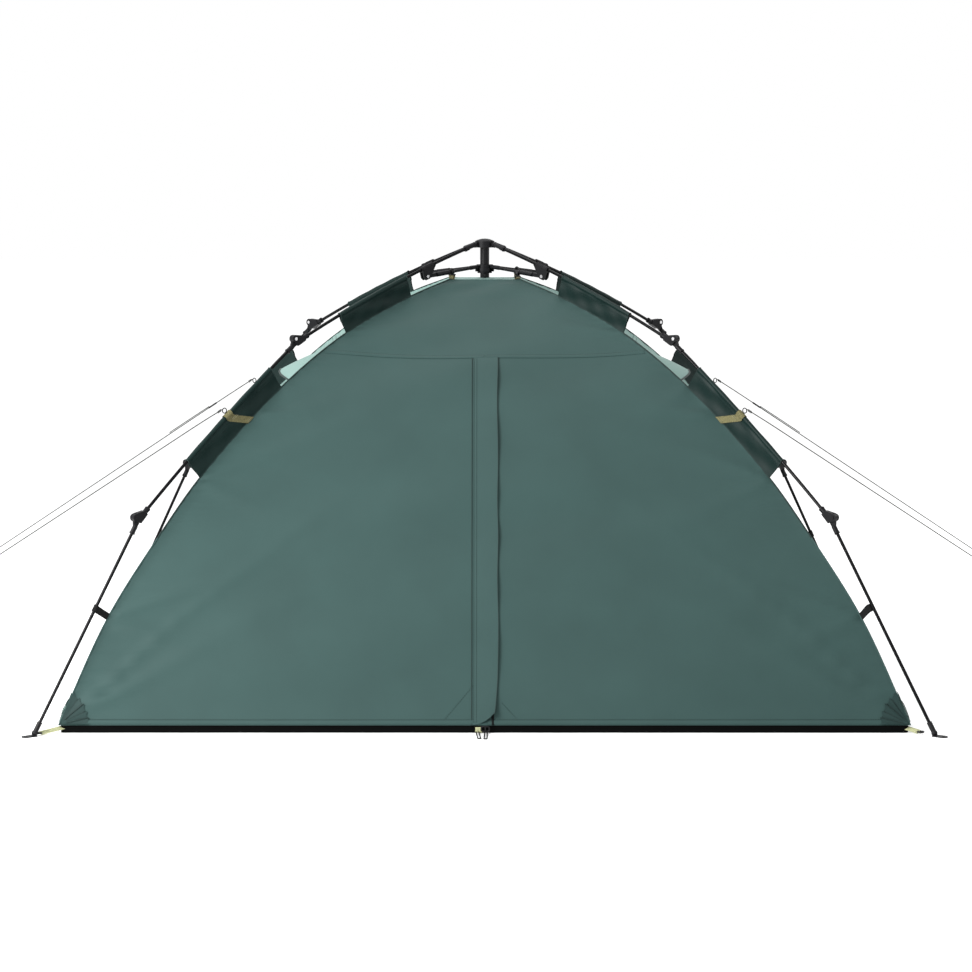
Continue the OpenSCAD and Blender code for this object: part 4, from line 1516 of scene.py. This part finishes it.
    def corner(self, leg: Leg, first: bool) -> None:
        """Pale webbing from the canopy's corner to the foot, sewn on and looped through.

        Args:
            leg: The leg.
            first: Whether it stands for the record's node.
        """
        start = leg.rows[-1] + np.array([-0.045, -0.004])
        end = leg.foot + np.array([-0.020, -0.002])
        t = np.linspace(0, 1, 30)
        plane = start + (end - start) * t[:, None]
        plane[:, 1] = np.maximum(plane[:, 1], 0.0065)
        tilt = np.array([0, 0.62 * math.copysign(1.0, math.sin(leg.turn)), 0.78])
        turned = np.minimum(1, 3 * t)[:, None]
        face = tilt * turned + UP * (1 - turned)
        outline = tape_outline(self.strap_width * 0.85, 0.0018)
        tape = sweep(f"corner_webbing_{leg.name}", leg.world(plane), outline, face)
        turn = np.linspace(0, 2 * np.pi, 26, endpoint=False)
        hold = end + np.array([0.006, 0.0005])
        path = leg.world(hold + np.stack([0.0085 * np.cos(turn), 0.0 * turn], -1), 0.0088 * np.sin(turn))
        collar = sweep(f"corner_ring_{leg.name}", path, round_outline(0.0024, 10), UP, closed=True)
        self.paint.dress(tape, "pale_webbing", "pale_webbing")
        self.paint.dress(collar, "buckle", "buckle")
        for piece in (tape, collar):
            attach(piece, f"{leg.name}_lower")
        for k, share in enumerate((0.12, 0.3)):
            y = np.linspace(-0.0085, 0.0085, 12)
            spot = start + (end - start) * share + np.array([0, 0.004 * math.sin(math.pi * share) + 0.0011])
            line = leg.world(np.broadcast_to(spot, (12, 2)), y)
            tack = bar_tack(f"corner_tack_{leg.name}_{k}", line, UP)
            self.paint.dress(tack, "khaki_strap", "pale_webbing")
            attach(tack, f"{leg.name}_lower")
        if first:
            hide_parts("corner_webbing")

    def hanger(self, leg: Leg, first: bool) -> None:
        """A webbing loop on the roof's corner with a hook over the strut.

        Args:
            leg: The leg.
            first: Whether it stands for the record's node.
        """
        start = Vector(leg.joints[f"{leg.name}_strut_fold"]["pos_m"])
        low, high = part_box(f"{leg.name}_strut")
        pin = np.array([math.hypot(start.x, start.y), start.z])
        far = np.array([max(math.hypot(low.x, low.y), math.hypot(high.x, high.y)) - 0.006, 0.0])
        far[1] = float(low.z) + 0.006
        run = far - pin
        spot_r = leg.rows[0][0] - 0.010
        spot = pin + run * ((spot_r - pin[0]) / run[0])
        ahead = run / np.linalg.norm(run)
        out = np.array([-ahead[1], ahead[0]])
        top = leg.rows[0][1]
        height = spot[1] - 0.010 - top
        outward = leg.aim(np.array([1.0, 0.0]))
        parts = []
        for side in (-1, 1):
            t = np.linspace(0, 1, 12)
            bulge = 0.0018 + 0.0012 * np.sin(np.pi * t)
            plane = np.stack([spot_r + side * bulge, top + 0.0005 + height * t], -1)
            parts.append(sweep("part", leg.world(plane), tape_outline(self.strap_width, 0.0013), outward))
        strap = joined(f"roof_hanger_{leg.name}", parts)
        self.paint.dress(strap, "khaki_strap", "khaki_strap")
        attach(strap, "hub")
        y = np.linspace(-0.0085, 0.0085, 12)
        line = leg.world(np.broadcast_to(np.array([spot_r + 0.0046, top + 0.006]), (12, 2)), y)
        tack = bar_tack(f"hanger_tack_{leg.name}", line, outward)
        self.paint.dress(tack, "pale_thread", "khaki_strap")
        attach(tack, "hub")
        angle = np.linspace(-0.75 * np.pi, 1.1 * np.pi, 26)
        circle = leg.world(spot + 0.0066 * np.cos(angle)[:, None] * out, 0.0066 * np.sin(angle))
        hook_parts = [sweep("part", circle, tape_outline(0.012, 0.0030), unit(circle - leg.world(spot)))]
        bar_y = np.linspace(-0.0125, 0.0125, 10)
        bar = leg.world(np.broadcast_to(np.array([spot_r, spot[1] - 0.0105]), (10, 2)), bar_y)
        hook_parts.append(sweep("part", bar, round_outline(0.0030, 12, 0.8), UP))
        lug_z = np.linspace(0, 1, 6)
        lug = leg.world(np.stack([np.full(6, spot_r), spot[1] - 0.0105 + 0.006 * lug_z], -1), 0.0)
        hook_parts.append(sweep("part", lug, tape_outline(0.010, 0.004), outward))
        tip = leg.world(spot + out * 0.0075 + ahead * (np.linspace(-0.003, 0.003, 6)[:, None]), 0.002)
        hook_parts.append(sweep("part", tip, round_outline(0.0026, 10), leg.across))
        hook = joined(f"roof_hook_clip_{leg.name}", hook_parts)
        self.paint.dress(hook, "buckle", "buckle")
        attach(hook, "hub")
        if first:
            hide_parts("roof_hangers")


@dataclass
class DoorFoot:
    """The khaki tab, the zip's buckle and the cord loops at the door's foot."""

    paint: Paint
    cord_radius: float = 0.0018
    cord_half_gap: float = 0.004

    def build(self) -> None:
        """Builds the three pieces."""
        low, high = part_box("door_tab")
        face = float(high.y) - 0.002
        x = np.linspace(float(low.x) + 0.002, float(low.x) + 0.021, 16)
        line = np.stack([x, np.full(16, face - 0.0008), 0.0105 + 0.0006 * np.sin(x * 90)], -1)
        tab = sweep("door_tab_webbing", line, tape_outline(0.015, 0.0016), np.array([0, -1.0, 0]))
        self.paint.dress(tab, "pale_webbing", "khaki_strap")
        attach(tab, "root")
        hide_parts("door_tab")
        angle = np.linspace(0, 2 * np.pi, 32, endpoint=False)
        across, upright = np.cos(angle), np.sin(angle)
        frame_x = np.sign(across) * np.abs(across) ** 0.5 * 0.011 + 0.002
        frame_z = np.sign(upright) * np.abs(upright) ** 0.5 * 0.0068 + 0.0135
        square = np.stack([frame_x, np.full(32, face - 0.0065), frame_z], -1)
        outward = np.array([0, 1.0, 0])
        frame_piece = sweep("part", square, round_outline(0.0022, 8), outward, closed=True)
        bar = np.stack([np.full(6, 0.002), np.full(6, face - 0.0065), np.linspace(0.0075, 0.0195, 6)], -1)
        prong = sweep("part", bar, round_outline(0.0018, 8), outward)
        buckle = joined("door_buckle", [frame_piece, prong])
        self.paint.dress(buckle, "buckle", "buckle")
        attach(buckle, "root")
        pulls = ((-0.020, 0.003, 0.104), (0.004, -0.001, 0.112))
        loops = joined("door_cord_loops", [self.cord_loop(face - 0.003, *pull) for pull in pulls])
        self.paint.dress(loops, "elastic", "elastic")
        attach(loops, "root")

    def cord_loop(self, start_y: float, start_x: float, lean: float, length: float) -> bpy.types.Object:
        """A doubled cord that lies on the ground in front of the door.

        Args:
            start_y: Where it leaves the tab.
            start_x: Its place along the tab.
            lean: How far it drifts sideways.
            length: Its reach.

        Returns:
            The loop.
        """
        gap = self.cord_half_gap
        leave_z = 0.004

        def spots(side: float, shares: Sequence[float]) -> list[tuple[float, float, float]]:
            """Points of one of the two cords."""
            return [
                (start_x + lean * s + side, start_y - length * 0.5 * s, leave_z - 0.0015 * s) for s in shares
            ]

        end = []
        end_x, end_y = start_x + lean * 1.8, start_y - length * 0.87
        for a in np.linspace(0, np.pi, 13):
            end.append((end_x - gap * math.cos(a), end_y - gap * math.sin(a), 0.0019))
        there = spots(-gap, (0.0, 0.5, 1.0, 1.6))
        back = spots(gap, (1.6, 1.0, 0.5, 0.0))
        return sweep("part", spline(np.array(there + end + back), 4), round_outline(self.cord_radius, 8), UP)


# ---------------------------------------------------------------- guy lines


FRONT_ROUTE = (
    (-0.754, -0.658, 0.877),
    (-0.820, -0.668, 0.836),
    (-0.900, -0.678, 0.784),
    (-0.980, -0.688, 0.732),
    (-1.060, -0.698, 0.680),
    (-1.140, -0.708, 0.628),
    (-1.220, -0.718, 0.576),
    (-1.300, -0.728, 0.524),
    (-1.380, -0.738, 0.472),
    (-1.460, -0.748, 0.420),
)
REAR_ROUTE = (
    (-0.754, 0.658, 0.877),
    (-0.840, 0.668, 0.821),
    (-0.930, 0.678, 0.761),
    (-1.020, 0.688, 0.701),
    (-1.110, 0.698, 0.641),
    (-1.200, 0.708, 0.581),
    (-1.290, 0.718, 0.521),
    (-1.380, 0.728, 0.461),
    (-1.470, 0.738, 0.401),
    (-1.560, 0.748, 0.341),
    (-1.640, 0.757, 0.288),
)


@dataclass
class GuyLine:
    """One taut line from its strap's ring to a ring that a stake's loop takes."""

    leg_name: str
    route: tuple[tuple[float, float, float], ...]
    slider: bool
    paint: Paint
    replaces_fittings: bool = False
    diameter: float = 0.003

    def build(self) -> None:
        """Builds the line and what is on it."""
        points = np.array(self.route)
        if self.leg_name.endswith("right"):
            points = points * np.array([-1, 1, 1])
        body = f"{self.leg_name}_middle"
        run = points[-1] - points[0]
        fine = spline(points, 8)
        line = sweep(f"{self.leg_name}_line", fine, round_outline(self.diameter / 2, 10), UP)
        self.paint.dress(line, "guy_line", "guy_line")
        ahead = unit(run)
        last = unit(points[-1] - points[-2])
        parts = []
        t = np.linspace(0, 1, 10)
        knot = points[-1] + last * (0.010 * t)[:, None]
        parts.append(sweep("part", knot, round_outline(0.0031, 12), UP))
        angle = np.linspace(0, 2 * np.pi, 30, endpoint=False)
        rise = unit(np.cross(np.cross(last, UP), last))
        hole = points[-1] + last * 0.0185
        circle = hole + 0.009 * (np.cos(angle)[:, None] * last + np.sin(angle)[:, None] * rise)
        parts.append(sweep("part", circle, round_outline(0.002, 10), unit(np.cross(last, rise)), closed=True))
        pieces = [joined(f"{self.leg_name}_line_ring", parts)]
        near = points[0] + unit(points[1] - points[0]) * 0.004
        turn = np.linspace(0, 3 * 2 * np.pi, 40)
        side = unit(np.cross(ahead, UP))
        lift = unit(np.cross(side, ahead))
        round_it = 0.0026 * (np.cos(turn)[:, None] * side + np.sin(turn)[:, None] * lift)
        coil = near + ahead * (0.012 * turn / turn[-1])[:, None] + round_it
        pieces.append(sweep(f"{self.leg_name}_line_knot", coil, round_outline(0.0013, 8), ahead + 0.3 * lift))
        if self.slider:
            centre = (points[1] + points[2]) / 2
            along = unit(points[2] - points[1])
            across = unit(np.cross(along, UP))
            thick = unit(np.cross(across, along))
            span = np.linspace(-0.015, 0.015, 9)
            halfwidth = 0.0052 + 0.0010 * np.cos(span / 0.015 * np.pi)
            one_side = np.stack([span, halfwidth], -1)
            outline = [*one_side, *(one_side * np.array([1, -1]))[::-1]]
            verts, faces = [], []
            for level in (-0.0024, 0.0024):
                verts += [centre + along * p[0] + across * p[1] + thick * level for p in outline]
            m = len(outline)
            faces.append(list(range(m)))
            faces.append(list(range(m, 2 * m))[::-1])
            faces += [[i, i + m, (i + 1) % m + m, (i + 1) % m] for i in range(m)]
            body_piece = piece_of(f"{self.leg_name}_line_slider", verts, faces)
            pieces.append(body_piece)
            beside = ((0.0035, 0.012), (0.004, 0.10), (0.004, 0.17))
            back = np.array([centre + thick * off + along * far for off, far in beside])
            name = f"{self.leg_name}_line_return"
            pieces.append(sweep(name, spline(back, 8), round_outline(0.0013, 8), UP))
        for piece in pieces:
            finish = "guy_line" if piece.name.endswith(("_knot", "_return")) else "buckle"
            self.paint.dress(piece, finish, finish)
        if self.replaces_fittings:
            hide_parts("line_fittings")
        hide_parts(f"{self.leg_name}_guy_line")
        for piece in (line, *pieces):
            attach(piece, body)
            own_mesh(piece)


# ---------------------------------------------------------------- frame, light and camera


def dress_hardware(frame: dict[str, Any], paint: Paint) -> None:
    """Gives each hard part of the frame its finish and smooth shading.

    Args:
        paint: The finishes.
    """
    endings = (
        ("_pole", "pole"),
        ("_arm_fittings", "fitting"),
        ("_arm_pins", "pin"),
        ("_strut", "strut"),
        ("_middle_fittings", "fitting"),
        ("_lower_knuckle", "fitting"),
        ("_foot", "foot"),
    )
    whole = {
        "hub_cap": "fitting",
        "hub_pins": "pin",
        "centre_shaft": "shaft",
        "roof_hook": "buckle",
        "runner": "fitting",
        "runner_pins": "pin",
    }
    for name, node in frame["nodes"].items():
        if node.hide_render:
            continue
        key = whole.get(name) or next((k for end, k in endings if name.endswith(end)), None)
        if key is None:
            continue
        paint.dress(node, key)
        mesh = node.data
        mesh.polygons.foreach_set("use_smooth", [True] * len(mesh.polygons))
        mesh.set_sharp_from_angle(angle=math.radians(32))


def clamp_ribs(legs: dict[str, Leg], paint: Paint) -> None:
    """Raised rings on the moulded sockets and bracket clamps.

    Args:
        legs: The four legs.
        paint: The finishes.
    """
    upper_pole_length = 0.761
    bracket_at, socket_at = 0.229, 0.0175
    around_bracket = (-0.034, -0.029, -0.024, -0.019, -0.014, -0.009, 0.006, 0.011)
    spots = [(bracket_at + d) / upper_pole_length for d in around_bracket]
    spots += [(socket_at + d) / upper_pole_length for d in (0.0, 0.036)]
    radius = 0.00785
    for leg in legs.values():
        rings = []
        for share in spots:
            centre, out = leg.arm(share)
            tangent = np.array([out[1], -out[0]])
            angle = np.linspace(0, 2 * np.pi, 28, endpoint=False)
            circle = leg.world(centre + radius * np.cos(angle)[:, None] * out, radius * np.sin(angle))
            rings.append(sweep("part", circle, round_outline(0.0007, 6), leg.aim(tangent), closed=True))
        piece = joined(f"clamp_ribs_{leg.name}", rings)
        paint.dress(piece, "fitting", "fitting")
        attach(piece, f"{leg.name}_arm")


def stage_floor() -> None:
    """A plain pale floor."""
    mesh = bpy.data.meshes.new("floor")
    size = 40.0
    corners = [(-size, -size, 0), (size, -size, 0), (size, size, 0), (-size, size, 0)]
    mesh.from_pydata(corners, [], [(0, 1, 2, 3)])
    floor = bpy.data.objects.new("floor", mesh)
    bpy.context.scene.collection.objects.link(floor)
    material, shader = new_material("pale_floor")
    socket(shader, "Base Color", (0.96, 0.96, 0.96, 1))
    socket(shader, "Roughness", 1.0)
    socket(shader, "Specular IOR Level", 0.0)
    socket(shader, "Emission Color", (1.0, 1.0, 1.0, 1))
    socket(shader, "Emission Strength", 0.12)
    floor.data.materials.append(material)


def area_light(name: str, place: Sequence[float], aim: Sequence[float], size: float, power: float) -> None:
    """Adds one soft light.

    Args:
        name: Its name.
        place: Where it is.
        aim: The point it faces.
        size: Its side.
        power: In watts.
    """
    light = bpy.data.lights.new(name, "AREA")
    light.shape = "SQUARE"
    light.size = size
    light.energy = power
    lamp = bpy.data.objects.new(name, light)
    lamp.location = place
    lamp.rotation_euler = (Vector(aim) - Vector(place)).to_track_quat("-Z", "Y").to_euler()
    bpy.context.scene.collection.objects.link(lamp)


def light_studio() -> None:
    """A white surround, a broad light near the left, one overhead and one behind right."""
    world = bpy.data.worlds.new("surround")
    world.use_nodes = True
    ground = world.node_tree.nodes["Background"]
    socket(ground, "Color", (1, 1, 1, 1))
    socket(ground, "Strength", 1.0)
    bpy.context.scene.world = world
    bpy.context.scene.view_settings.view_transform = "Standard"
    area_light("key", (-3.3, -3.3, 2.5), (-0.6, -0.5, 0.5), 2.2, 330)
    area_light("top", (-1.5, 0.5, 5.0), (0, 0, 0.9), 3.0, 90)
    area_light("rim", (4.5, 2.5, 3.0), (0, 0, 0.8), 2.0, 60)


def place_camera() -> None:
    """A long lens in front of the door, a little above the hub and tilted down."""
    data = bpy.data.cameras.new("camera")
    data.lens = 129.98
    data.sensor_width = 36.0
    data.clip_end = 200
    camera = bpy.data.objects.new("camera", data)
    camera.location = (0.004, -10.72, 1.630)
    camera.rotation_euler = (math.radians(90 - 5.53), 0, 0)
    bpy.context.scene.collection.objects.link(camera)
    bpy.context.scene.camera = camera


def main() -> None:
    """Builds the tent in order."""
    logging.basicConfig(level=logging.INFO, format="%(name)s: %(message)s")
    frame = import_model()
    place_camera()
    paint = Paint()
    joints = {j["name"]: j for j in frame["joints"]}
    names = ("front_left", "front_right", "rear_left", "rear_right")
    legs = {name: Leg(name, joints) for name in names}
    rows = seam_rows(frame["nodes"]["front_panel"])
    for leg in legs.values():
        leg.rows = rows
    LOG.info("seam rows: %s", rows.round(3).tolist())
    for k, name in enumerate(names):
        front = name.startswith("front")
        GuyLine(name, FRONT_ROUTE if front else REAR_ROUTE, not front, paint, k == 0).build()
    Canopy(legs, paint).build()
    Harness(legs, paint).build()
    DoorFoot(paint).build()
    clamp_ribs(legs, paint)
    dress_hardware(frame, paint)
    stage_floor()
    light_studio()


if __name__ == "__main__":
    main()
